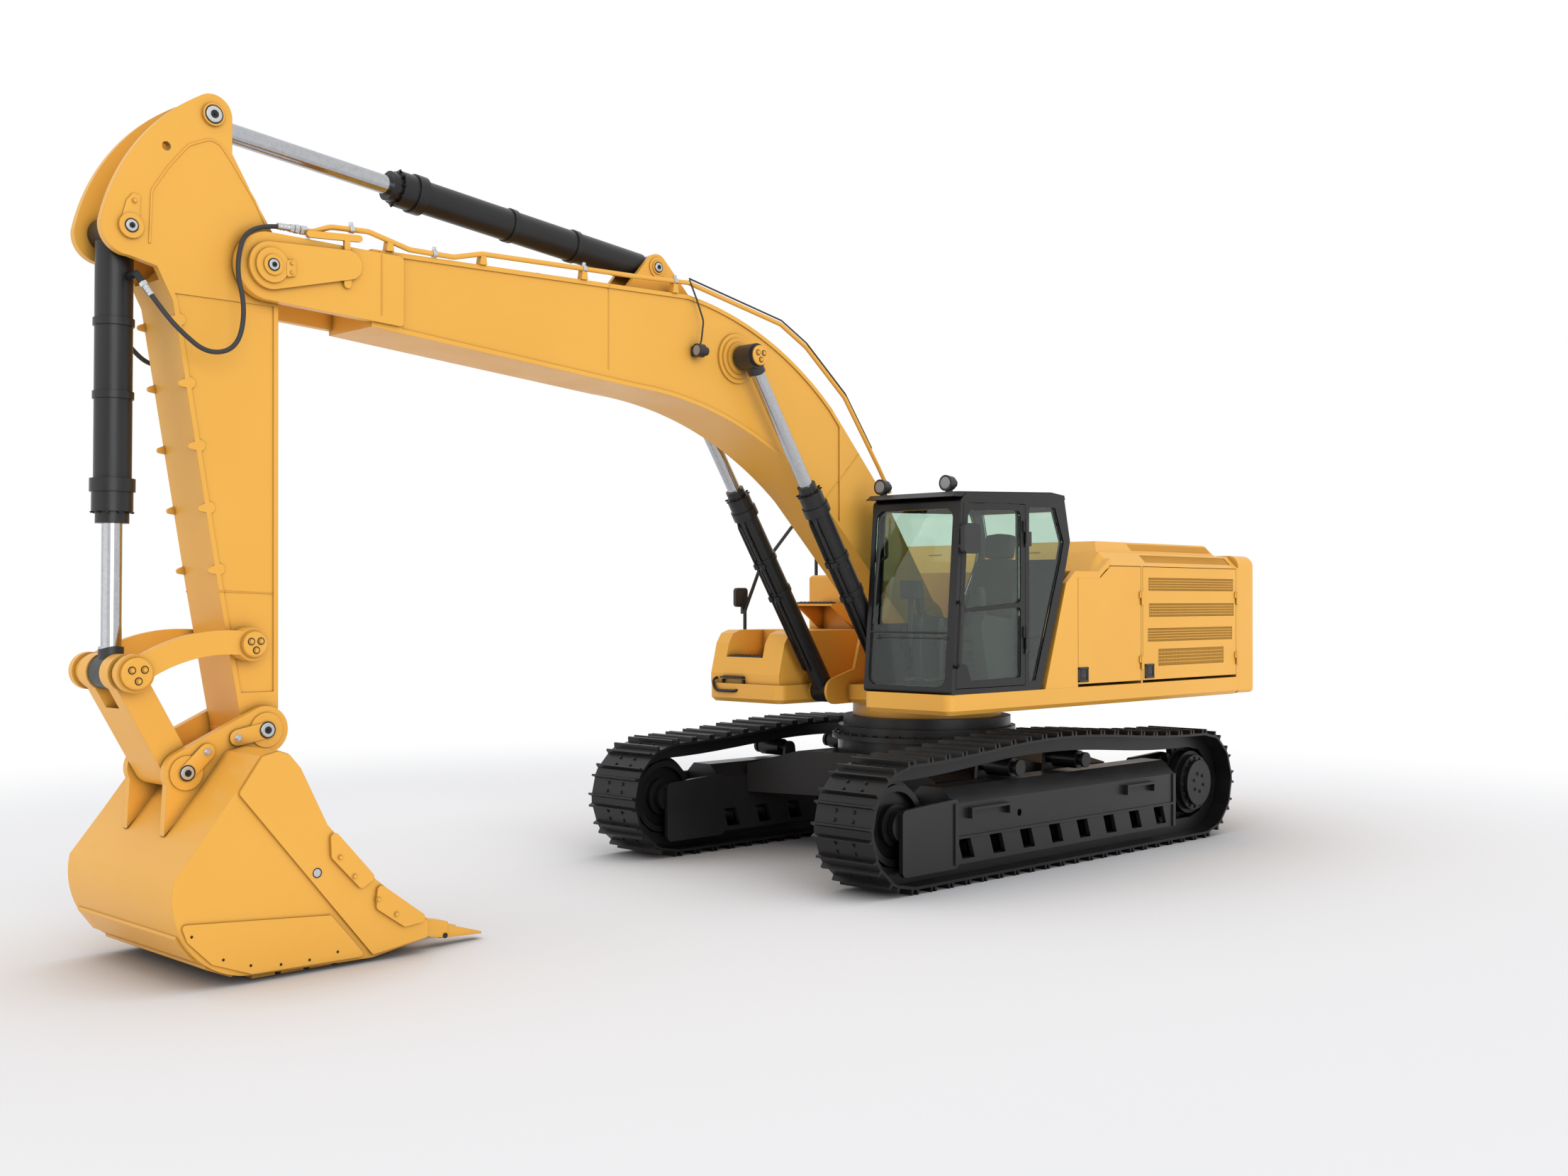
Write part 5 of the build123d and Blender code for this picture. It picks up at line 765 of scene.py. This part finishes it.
# Pin ends
PIN_SUNK, CAP_SUNK, CAP_RING = 0.003, 0.004, 0.46
BOLTED_CAPS = (  # name, node, pin, radius, body and depth
    ("link_pivot_caps", "stick", LINK_STICK, 0.080, "stick", 0.022),
    ("link_rod_caps", "idler_links", LINK_ROD, 0.096, "idler_links", 0.022),
    ("lift_pin_caps", "boom_cylinder_rods", LIFT_ROD, 0.080, "boom_rods", 0.016),
)
RINGED_PINS = (  # name, node and body, pin, radius and lift over a keeper plate
    ("stick_top_pin", "stick", STICK_TOP, 0.052, 0.0),
    ("bucket_base_pin", "stick", BUCKET_BASE, 0.036, 0.0),
    ("stick_nose_pin", "bucket", STICK_NOSE, 0.047, 0.010),
    ("link_bucket_pin", "bucket", LINK_BUCKET, 0.043, 0.010),
    ("boom_nose_pin", "boom", BOOM_NOSE, 0.034, 0.0),
    ("stick_base_pin", "boom", STICK_BASE, 0.036, 0.0),
)


def bolted_caps(name, node, pin, radius, body, depth):
    """Round caps on both ends of a pin, each with three bolts on dark washers."""
    work, rows = bmesh.new(), []
    for sign, facing in FACINGS:
        place = from_side(node, *pin, sign)[0] - facing * CAP_SUNK
        round_form(work, place, facing, radius, depth + CAP_SUNK)
        top = place + facing * (depth + CAP_SUNK)
        for angle in angles(3, 0.5):
            rows.append((top + Vector((math.cos(angle), 0, math.sin(angle))) * (radius * CAP_RING), facing))
    formed(work, name, YELLOW, body)
    bolts(name + "_bolts", rows, 0.013, YELLOW, body)
    work = bmesh.new()
    for place, facing in rows:
        ring_form(work, place, facing, 0.021, 0.0035, sides=20, round_sides=6)
    formed(work, name + "_washers", BLACK, body)


def ringed_pins(name, node, pin, radius, lift):
    """Zinc pin faces with a dark rim and a grease point."""
    bright, dark = bmesh.new(), bmesh.new()
    for sign, facing in FACINGS:
        place = from_side(node, *pin, sign)[0] + facing * (lift - PIN_SUNK)
        round_form(bright, place, facing, radius, 0.012)
        ring_form(dark, place + facing * 0.004, facing, radius + 0.003, 0.004)
        round_form(dark, place + facing * 0.011, facing, radius * 0.50, 0.005)
        round_form(dark, place + facing * 0.016, facing, radius * 0.14, 0.012, sides=12)
    formed(bright, name + "_face", ZINC, node)
    formed(dark, name + "_rim", BLACK, node)


for row in BOLTED_CAPS:
    bolted_caps(*row)
for row in RINGED_PINS:
    ringed_pins(*row)


# Paddle latches of the side doors: frame, sunken plate and paddle by x, z and how far they stand out
LATCH_FORMS = (
    (-78, 78, 46, 66, 9), (-78, 78, -66, -46, 9), (-78, -60, -66, 66, 9), (60, 78, -66, 66, 9),
    (-62, 62, -48, 48, 2), (-40, 44, -30, 12, 7),
)
LATCH_SUNK, LATCH_Z = 3, 1618
LATCH_X = (("front", -362), ("rear", -1444))
for side_name, sign in SIDES:
    for part_name, x in LATCH_X:
        door = side_name + "_" + part_name + "_door"
        face = abs(from_side(door, x, LATCH_Z, sign)[0].y) * 1000
        work = bmesh.new()
        for x_low, x_high, z_low, z_high, out in LATCH_FORMS:
            y_low, y_high = sorted((sign * (face - LATCH_SUNK), sign * (face + out)))
            low, high = (x + x_low, y_low, LATCH_Z + z_low), (x + x_high, y_high, LATCH_Z + z_high)
            blocks(work, (low, high, 0.003))
        round_form(work, spot(x + 30, sign * face, LATCH_Z + 32), (0, sign, 0), 0.011, 0.008, sides=16)
        formed(work, door + "_latch", LAMP_BLACK, door)

# Fine bars between the ribs of the louvres, in fields by x and z
LOUVRE_PITCH, LOUVRE_SUNK = 24.0, 4
LOUVRE_FIELDS = (
    (-2990, -1430, 2370, 2490), (-3000, -1440, 2125, 2250), (-2970, -1420, 1893, 2017), (-2800, -1600, 1663, 1820),
)
for side_name, sign in SIDES:
    door = side_name + "_rear_door"
    for number, (x_low, x_high, z_low, z_high) in enumerate(LOUVRE_FIELDS):
        count = int((x_high - x_low) / LOUVRE_PITCH)
        middle = (z_low + z_high) / 2
        places = [((x_low + x_high) / 2 + 5, middle + lift) for lift in (-20, -10, 0, 10, 20)]
        bar_y = max(abs(met[0].y) for met in side_hits(door, places, sign)) * 1000 - LOUVRE_SUNK
        steps = [x_low + (step + 0.5) * (x_high - x_low) / count for step in range(count)]
        bar = (0.009, 0.012, (z_high - z_low - 4) / 1000)
        # The bars take the yellow paint with painted shade.
        slats(f"{door}_mesh_{number}", [spot(x, sign * bar_y, middle) for x in steps], bar, MESH_SHADED_YELLOW, door)


# Cylinders: head bolts, and steel lines with clamps on the lift barrels
HEAD_BOLTS = 10
LIFT_Y, LIFT_HEAD, LIFT_HEAD_RING = 430, 2050, 0.104
LIFT_LINE = ((270, 47), (270, 107), (1790, 107), (1870, 87))  # along the barrel and out from its axis
LIFT_LINE_TURNS = (0.35, -0.35)
LIFT_CLAMPS, LIFT_CLAMP_OUT = (1060, 1399.2), 103


def cylinder_frame(base, end, y, turn):
    """Foot of a cylinder, the way that it points and a way out of its side."""
    way = Vector((end[0] - base[0], 0, end[1] - base[1])).normalized()
    return spot(base[0], y, base[1]), way, Vector((way.z, 0, -way.x)) * math.cos(turn) + ACROSS * math.sin(turn)


def head_rows(base, end, y, length, radius):
    """Bolts in the end face of a cylinder's head."""
    rows = []
    for angle in angles(HEAD_BOLTS, math.pi / HEAD_BOLTS):
        foot, way, out = cylinder_frame(base, end, y, angle)
        rows.append((foot + way * length / 1000 + out * radius, way))
    return rows


rows, routes, work = [], [], bmesh.new()
for sign in SIGNS:
    rows += head_rows(LIFT_BASE, LIFT_ROD, sign * LIFT_Y, LIFT_HEAD, LIFT_HEAD_RING)
    for turn in LIFT_LINE_TURNS:
        foot, way, side = cylinder_frame(LIFT_BASE, LIFT_ROD, sign * LIFT_Y, turn * sign)
        routes.append([foot + way * along / 1000 + side * out / 1000 for along, out in LIFT_LINE])
        for along in LIFT_CLAMPS:
            centre = foot + way * along / 1000 + side * LIFT_CLAMP_OUT / 1000
            round_form(work, centre - way * 0.022, way, 0.030, 0.044, sides=16)
bolts("lift_head_bolts", rows, 0.010, BLACK, "boom_barrels")
lines("lift_barrel_lines", routes, 0.012, 0.05, BLACK, "boom_barrels")
formed(work, "lift_line_clamps", BLACK, "boom_barrels")
for name, base, end, length, radius in (
    ("stick", STICK_BASE, STICK_TOP, 2260, 0.119), ("bucket", BUCKET_BASE, LINK_ROD, 1700, 0.114),
):
    bolts(name + "_head_bolts", head_rows(base, end, 0, length, radius), 0.011, BLACK, name + "_barrel")


# Boom: pipe clamps and nuts, cables, feed lines with clips, seams
PIPE_Y, PIPE_END_Z = 280, 4655
PIPE_ROUTE = (
    (846, 3235), (999, 3450), (1443, 4030), (1925, 4415), (2226, 4570), (3257, 4775), (3784, 4750), (5205, 4710),
    (5441, 4652), (5795, 4650), (6111, 4722), (6391, 4708), (6520, 4655), (6661, 4655),
)
PIPE_CLAMPS, PIPE_NUTS = (3400, 4300, 5600, 6240), ((6566, 0.044), (6620, 0.030))
CABLE_X = (1100, 1443, 1925, 2226, 2700, 3257)
LAMP_LEAD = ((3205, 322, 4640), (3150, 338, 4480), (3170, 336, 4330), (3185, 338, 4290))
FEED_X, FEED_Y, FEED_LIFT = (3330, 3160, 2900, 2600, 2300, 2000, 1700, 1450), (110, -110, 60, -60), 0.030
FEED_CLIPS = (2900, 2300, 1700)
SEAM_STEPS = 24
BOOM_SEAMS = (((6020, 4640), (6020, 4180)), ((4050, 4700), (4050, 4020)), ((1258, 3559), (1663, 3157)))
STICK_SEAMS = (((6760, 2322), (7120, 2336)),)


def pipe_height(x):
    """Height of the boom pipes' axis."""
    for (x_low, z_low), (x_high, z_high) in zip(PIPE_ROUTE, PIPE_ROUTE[1:]):
        if x_low <= x <= x_high:
            return z_low + (z_high - z_low) * (x - x_low) / (x_high - x_low)


def seam(node, first, second, sign):
    """Weld route that follows a node's side between two points."""
    places = [
        [low + (high - low) * step / SEAM_STEPS for low, high in zip(first, second)] for step in range(SEAM_STEPS + 1)
    ]
    return [met[0] for met in side_hits(node, places, sign) if abs(met[1].y) > 0.7]


work = bmesh.new()
for sign in SIGNS:
    for x in PIPE_CLAMPS:
        way = Vector((20, 0, pipe_height(x + 10) - pipe_height(x - 10))).normalized()
        centre = spot(x, sign * PIPE_Y, pipe_height(x))
        round_form(work, centre - way * 0.016, way, 0.026, 0.032, sides=20)
        box_at(work, centre, (-0.014, -0.007, 0.018), (0.014, 0.007, 0.048))
    for start, length in PIPE_NUTS:
        round_form(work, spot(start, sign * PIPE_Y, PIPE_END_Z), FORWARD, 0.030, length, sides=6)
formed(work, "pipe_clamps", ZINC, "boom")

cable = [spot(x, PIPE_Y + 8, pipe_height(x) + 32) for x in CABLE_X]
lamp_lead = [spot(CABLE_X[-1], PIPE_Y + 12, pipe_height(CABLE_X[-1]) + 20)] + [spot(*place) for place in LAMP_LEAD]
lines("boom_cables", [cable, lamp_lead], 0.007, 0.10, RUBBER, "boom")
feeds = [[from_top("boom", x, y)[0] + UP * FEED_LIFT for x in FEED_X] for y in FEED_Y]
lines("boom_feed_lines", feeds, 0.019, 0.35, RUBBER, "boom")
work = bmesh.new()
for x in FEED_CLIPS:
    place = from_top("boom", x, 0)[0]
    for low, high in ((-0.004, 0.012), (0.046, 0.058)):
        box_at(work, place, (-0.022, -0.145, low), (0.022, 0.145, high))
formed(work, "feed_line_clips", BLACK, "boom")
for node, ends in (("boom", BOOM_SEAMS), ("stick", STICK_SEAMS)):
    welds(node + "_seams", [seam(node, *pair, sign) for sign in SIGNS for pair in ends], node)

# Lamp lenses in their rims: name, node, body, radius and places in front of them
LAMP_LENSES = (
    ("work_lamp_lens", "boom_lamp", "boom", 0.041, ((3900, 340, 4243),)),
    ("roof_lamp_lenses", "roof_lamps", "upper", 0.047, ((2000, 615, 3245), (2000, 1330, 3245))),
)
for name, node, body, radius, starts in LAMP_LENSES:
    work = bmesh.new()
    for start in starts:
        place = surface(node, spot(*start), -FORWARD)[0]
        round_form(work, place - FORWARD * 0.003, FORWARD, radius, 0.008)
        ring_form(work, place + FORWARD * 0.001, FORWARD, radius, 0.003)
    formed(work, name, LENS, body)


# Seat: cushions made by subdivision over a sprung base
SEAT_Y = 1025
CUSHION_CUTS, PIPING_SHARE, PIPING_REACH, PIPING_DEPTH = 4, 0.6, 0.02, 0.006
BELLOWS, BELLOWS_OUT, BELLOWS_RISE = 5, 8, 44


def cushion(name, outline, half, plump):
    """Padded piece: a cage that swells towards its middle, smoothed by subdivision."""
    work = bmesh.new()
    prism(work, outline, SEAT_Y - half, SEAT_Y + half)
    bmesh.ops.subdivide_edges(work, edges=work.edges[:], cuts=CUSHION_CUTS, use_grid_fill=True)
    work.normal_update()
    centre = sum((corner.co for corner in work.verts), Vector()) / len(work.verts)
    reach = max((corner.co - centre).length for corner in work.verts)
    for corner in work.verts:
        corner.co += corner.normal * plump * (1 - ((corner.co - centre).length / reach) ** 2)
    for corner in work.verts:
        if abs(abs(corner.co.y - SEAT_Y / 1000) - half / 1000 * PIPING_SHARE) < PIPING_REACH:
            corner.co -= corner.normal * PIPING_DEPTH
    piece = shaped(work, name, FABRIC, 180.0)
    soft = piece.modifiers.new("smooth", "SUBSURF")
    soft.levels = soft.render_levels = 2
    plain_mesh(piece, soft)
    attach(piece, "upper")
    return piece


seat = cushion("seat_cushion", ((300, 1915), (845, 1930), (850, 2045), (300, 2005)), 245, 0.02)
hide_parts("cab_seat")
cushion("seat_backrest", ((300, 1965), (420, 2005), (305, 2645), (190, 2620)), 235, 0.02)
cushion("seat_headrest", ((195, 2645), (285, 2655), (258, 2860), (168, 2850)), 135, 0.015)
work = blocks(bmesh.new(), ((330, 805, 1575), (790, 1245, 1625), 0.012))
for step in range(BELLOWS):
    out, rise = BELLOWS_OUT * (step % 2), BELLOWS_RISE * step
    blocks(work, ((385 - out, 840 - out, 1625 + rise), (745 + out, 1210 + out, 1672 + rise), 0.016))
blocks(work, ((310, 790, 1845), (830, 1260, 1925), 0.020))
blocks(work, *(((222, y - 9, 2560), (246, y + 9, 2720), 0.006) for y in (975, 1075)))
formed(work, "seat_base", PLASTIC, "upper")


# Cab: monitor, pedals and levers, wiper, handles, mirror, hinge blocks, joint of the front panes
def front_x(z):
    """Front face of the cab at a height."""
    return 1500 - (z - 1510) * 128 / 1590


WIPER_ARM = ((14, 700, 2985), (34, 690, 2940), (36, 660, 2300), (26, 655, 2240))  # out from the front, y and z
WIPER_BLADE = ((14, 640, 2720), (14, 640, 2080))
GRAB_BAR = ((1440, 1508, 1730), (1455, 1545, 1760), (1418, 1545, 2240), (1400, 1508, 2270))
PILLAR_HANDLE = ((1366, 622, 2830), (1326, 664, 2800), (1326, 664, 2650), (1372, 622, 2612))
LEVER_Y, KEY_Y, HINGE_Z, JOINT_Z = (915, 1135), range(670, 831, 32), (2804, 1892), 1970

work = blocks(
    bmesh.new(), ((1085, 640, 2290), (1130, 860, 2450), 0.010), ((1100, 720, 1900), (1122, 770, 2300), 0.008),
)
for y in LEVER_Y:
    blocks(work, ((1180, y - 55, 1600), (1330, y + 55, 1626), 0.008))
    blocks(work, ((1160, y - 14, 1610), (1186, y + 14, 2060), 0.008))
    round_form(work, spot(1172, y, 2050), UP, 0.026, 0.08)
formed(work, "cab_controls", PLASTIC, "upper")
work = blocks(bmesh.new(), ((1079, 655, 2330), (1086, 845, 2435), 0.002))
blocks(work, *(((1079, y - 10, 2305), (1086, y + 10, 2320), 0.002) for y in KEY_Y))
formed(work, "monitor_screen", SCREEN, "upper")
wiper, blade = ([spot(front_x(z) + out, y, z) for out, y, z in route] for route in (WIPER_ARM, WIPER_BLADE))
lines("wiper_arm", [wiper], 0.009, 0.03, LAMP_BLACK, "upper")
lines("wiper_blade", [blade], 0.011, 0.01, RUBBER, "upper")
for name, route in (("cab_grab_bar", GRAB_BAR), ("cab_pillar_handle", PILLAR_HANDLE)):
    lines(name, [[spot(*place) for place in route]], 0.014, 0.03, CAB_BLACK, "upper")
panes = ((2738, 2885), (2680, 2732))
work = blocks(bmesh.new(), *(((1262, 1556, low), (1438, 1564, high), 0.002) for low, high in panes))
formed(work, "mirror_glass", MIRROR_GLASS, "upper")
work = bmesh.new()
for z in HINGE_Z:
    face = from_side("cab_shell", 452, z, 1)[0].y * 1000
    blocks(work, ((418, face - 4, z - 62), (486, face + 14, z + 62), 0.006))
    round_form(work, spot(492, face + 8, z - 70), UP, 0.013, 0.140, sides=20)
formed(work, "cab_hinge_blocks", LAMP_BLACK, "upper")
x = front_x(JOINT_Z)
work = blocks(bmesh.new(), ((x - 6, 645, JOINT_Z - 6), (x + 5, 1440, JOINT_Z + 6), 0.002))
blocks(work, *(((x - 10, y - 16, JOINT_Z - 14), (x + 7, y + 16, JOINT_Z + 14), 0.003) for y in (665, 1420)))
formed(work, "front_pane_joint", LAMP_BLACK, "upper")

# Counterweight: reflectors and lifting eyes
work = bmesh.new()
for y in (-1150, 1150):
    place = surface("counterweight", spot(-6000, y, 1720), FORWARD)[0]
    box_at(work, place, (-0.007, -0.07, -0.022), (0.004, 0.07, 0.022))
formed(work, "rear_reflectors", RED_LENS, "upper")
work = bmesh.new()
for y in (-700, 700):
    place = from_top("counterweight", -3420, y)[0]
    ring_form(work, place + UP * 0.055, ACROSS, 0.058, 0.016)
    round_form(work, place - UP * 0.003, UP, 0.055, 0.014)
formed(work, "lifting_eyes", YELLOW, "upper")


# Keeper plates with their bolts, and the rim of the stick's doubler plate
KEEPER_SUNK, KEEPER_EDGE, LUG_RADIUS, END_STEPS = 2, 0.004, 52, 7
DOUBLER = (
    (7452, 4113), (7568, 4430), (7556, 4750), (7453, 4912), (7326, 5068), (7181, 5137), (7115, 5109), (7049, 5028),
    (6890, 4804), (6805, 4643),
)
STICK_KEEPER = ((7741, 4500), (7745, 4542), (7711, 4668), (7672, 4716), (7625, 4707), (7632, 4531), (7655, 4490))
NOSE_KEEPER = ((6672, 4340), (6724, 4326), (6738, 4338), (6738, 4420), (6726, 4434), (6674, 4440))
LUG_BOLTS = ((LINK_BUCKET, (7236, 1352)), (STICK_NOSE, (7037, 1426)))


def capsule(first, second):
    """Outline of a plate with two round ends."""
    start = math.atan2(second[1] - first[1], second[0] - first[0])
    outline = []
    for (x, z), turn in ((second, start - math.pi / 2), (first, start + math.pi / 2)):
        for step in range(END_STEPS):
            angle = turn + math.pi * step / (END_STEPS - 1)
            outline.append((x + LUG_RADIUS * math.cos(angle), z + LUG_RADIUS * math.sin(angle)))
    return outline


def keepers(name, bolts_name, node, plates, thick, size, bolt_finish):
    """Plates on both sides of a node, each with an outline and the places of its bolts."""
    work, rows = bmesh.new(), []
    for sign, facing in FACINGS:
        for outline, places in plates:
            x, z = (sum(values) / len(outline) for values in zip(*outline))
            face = abs(from_side(node, x, z, sign)[0].y) * 1000
            y_low, y_high = sorted((sign * (face - KEEPER_SUNK), sign * (face + thick)))
            faces = prism(work, outline, y_low, y_high)
            softened(work, {rim for face in faces for rim in face.edges}, KEEPER_EDGE)
            rows += [(spot(x, sign * (face + thick), z), facing) for x, z in places]
    formed(work, name, YELLOW, node)
    bolts(bolts_name, rows, size, bolt_finish, node)


rims = [[met[0] for met in side_hits("stick", DOUBLER, sign)] for sign in SIGNS]
lines("stick_doubler_rim", rims, 0.008, 0.08, YELLOW, "stick")
keepers("bucket_pin_keepers", "bucket_keeper_bolts", "stick", [(STICK_KEEPER, [(7665, 4668)])], 9, 0.012, YELLOW)
lugs = [(capsule(pin, bolt), [bolt]) for pin, bolt in LUG_BOLTS]
keepers("lug_keepers", "lug_keeper_bolts", "bucket", lugs, 10, 0.017, ZINC)
nose = [(NOSE_KEEPER, [(6704, 4356), (6704, 4414)])]
keepers("nose_keepers", "nose_keeper_bolts", "boom", nose, 22, 0.010, YELLOW)

# Bucket: bolts of the side guards and wear bars, rims and plugs of the side holes, tooth pins
GUARD_BOLTS = ((6600, 690), (6500, 560), (6330, 395), (6200, 285))
WEAR_BOLTS = ((7545, 330), (7350, 168), (7177, 108), (6982, 84), (6792, 82), (6600, 102))
SIDE_HOLE, TOOTH_PIN = (6744, 607), (5760, 70)
rows, small, holes, plugs = [], [], bmesh.new(), bmesh.new()
for sign, facing in FACINGS:
    rows += [(met[0], facing) for met in side_hits("bucket", GUARD_BOLTS, sign)]
    small += [(met[0], facing) for met in side_hits("bucket", WEAR_BOLTS, sign)]
    place = from_side("bucket", *SIDE_HOLE, sign)[0]
    ring_form(holes, place + facing * 0.001, facing, 0.028, 0.003)
    round_form(plugs, place - facing * 0.003, facing, 0.026, 0.004)
    pin = from_side("bucket_teeth", *TOOTH_PIN, sign)[0]
    round_form(holes, pin - facing * 0.003, facing, 0.018, 0.009, sides=16)
bolts("guard_bolts", rows, 0.013, YELLOW, "bucket")
bolts("wear_bar_bolts", small, 0.006, BLACK, "bucket")
formed(holes, "bucket_side_rims", BLACK, "bucket")
formed(plugs, "bucket_side_plugs", ZINC, "bucket")

# Mesh of the eaves and the hood's sides: name, node, body, heights and ends
MESH_STEPS = 62
for name, node, body, heights, x_low, x_high in (
    ("eave_mesh", "engine_house", "upper", (2636, 2698), -2980, -1440),
    ("hood_mesh", "engine_hood", "engine_hood", (2752, 2812), -2950, -1500),
):
    routes = []
    for sign in SIGNS:
        for step in range(MESH_STEPS):
            x = x_low + (x_high - x_low) * (step + 0.5) / MESH_STEPS
            ends = side_hits(node, [(x, z) for z in heights], sign)
            if len(ends) == len(heights):
                routes.append([met[0] for met in ends])
    # The mesh takes the yellow paint with painted shade.
    lines(name, routes, 0.0055, 0.0, MESH_SHADED_YELLOW, body)

# Step treads with studs on the tool box and tank, and the grab loop under the lowest one
STUD_PITCH, STUD = 46, (0.020, 0.020, 0.008)
nose, step_nose = (
    (surface("tool_box", spot(2600, -1090, z), -FORWARD)[0].x - SWING) * 1000 for z in (1640, 1740)
)
TREADS = (  # x from and to, y from and to, height
    (step_nose - 190, step_nose - 4, -1312, -868, 1752), (320, 392, -1316, -864, 2249),
    (nose - 6, nose + 62, -1330, -1040, 1560),
)
GRAB_LOOP = ((-4, -1420, 1560), (70, -1420, 1540), (70, -1380, 1440), (70, -1120, 1440), (-4, -1080, 1470))
work, studs = bmesh.new(), []
for x_low, x_high, y_low, y_high, top in TREADS:
    blocks(work, ((x_low, y_low, top - 3), (x_high, y_high, top + 14), 0.004))
    across = int((y_high - y_low) / STUD_PITCH)
    along = max(1, int((x_high - x_low) / STUD_PITCH))
    for row in range(along):
        x = x_low + (row + 0.5) * (x_high - x_low) / along
        studs += [spot(x, y_low + (column + 0.5) * (y_high - y_low) / across, top + 15) for column in range(across)]
blocks(work, *(((nose - 6, y, 1500), (nose + 40, y + 20, 1548), 0.004) for y in (-1330, -1060)))
formed(work, "step_treads", BLACK, "upper")
slats("step_studs", studs, STUD, BLACK, "upper")
lines("step_grab_loop", [[spot(nose + x, y, z) for x, y, z in GRAB_LOOP]], 0.013, 0.06, BLACK, "upper")
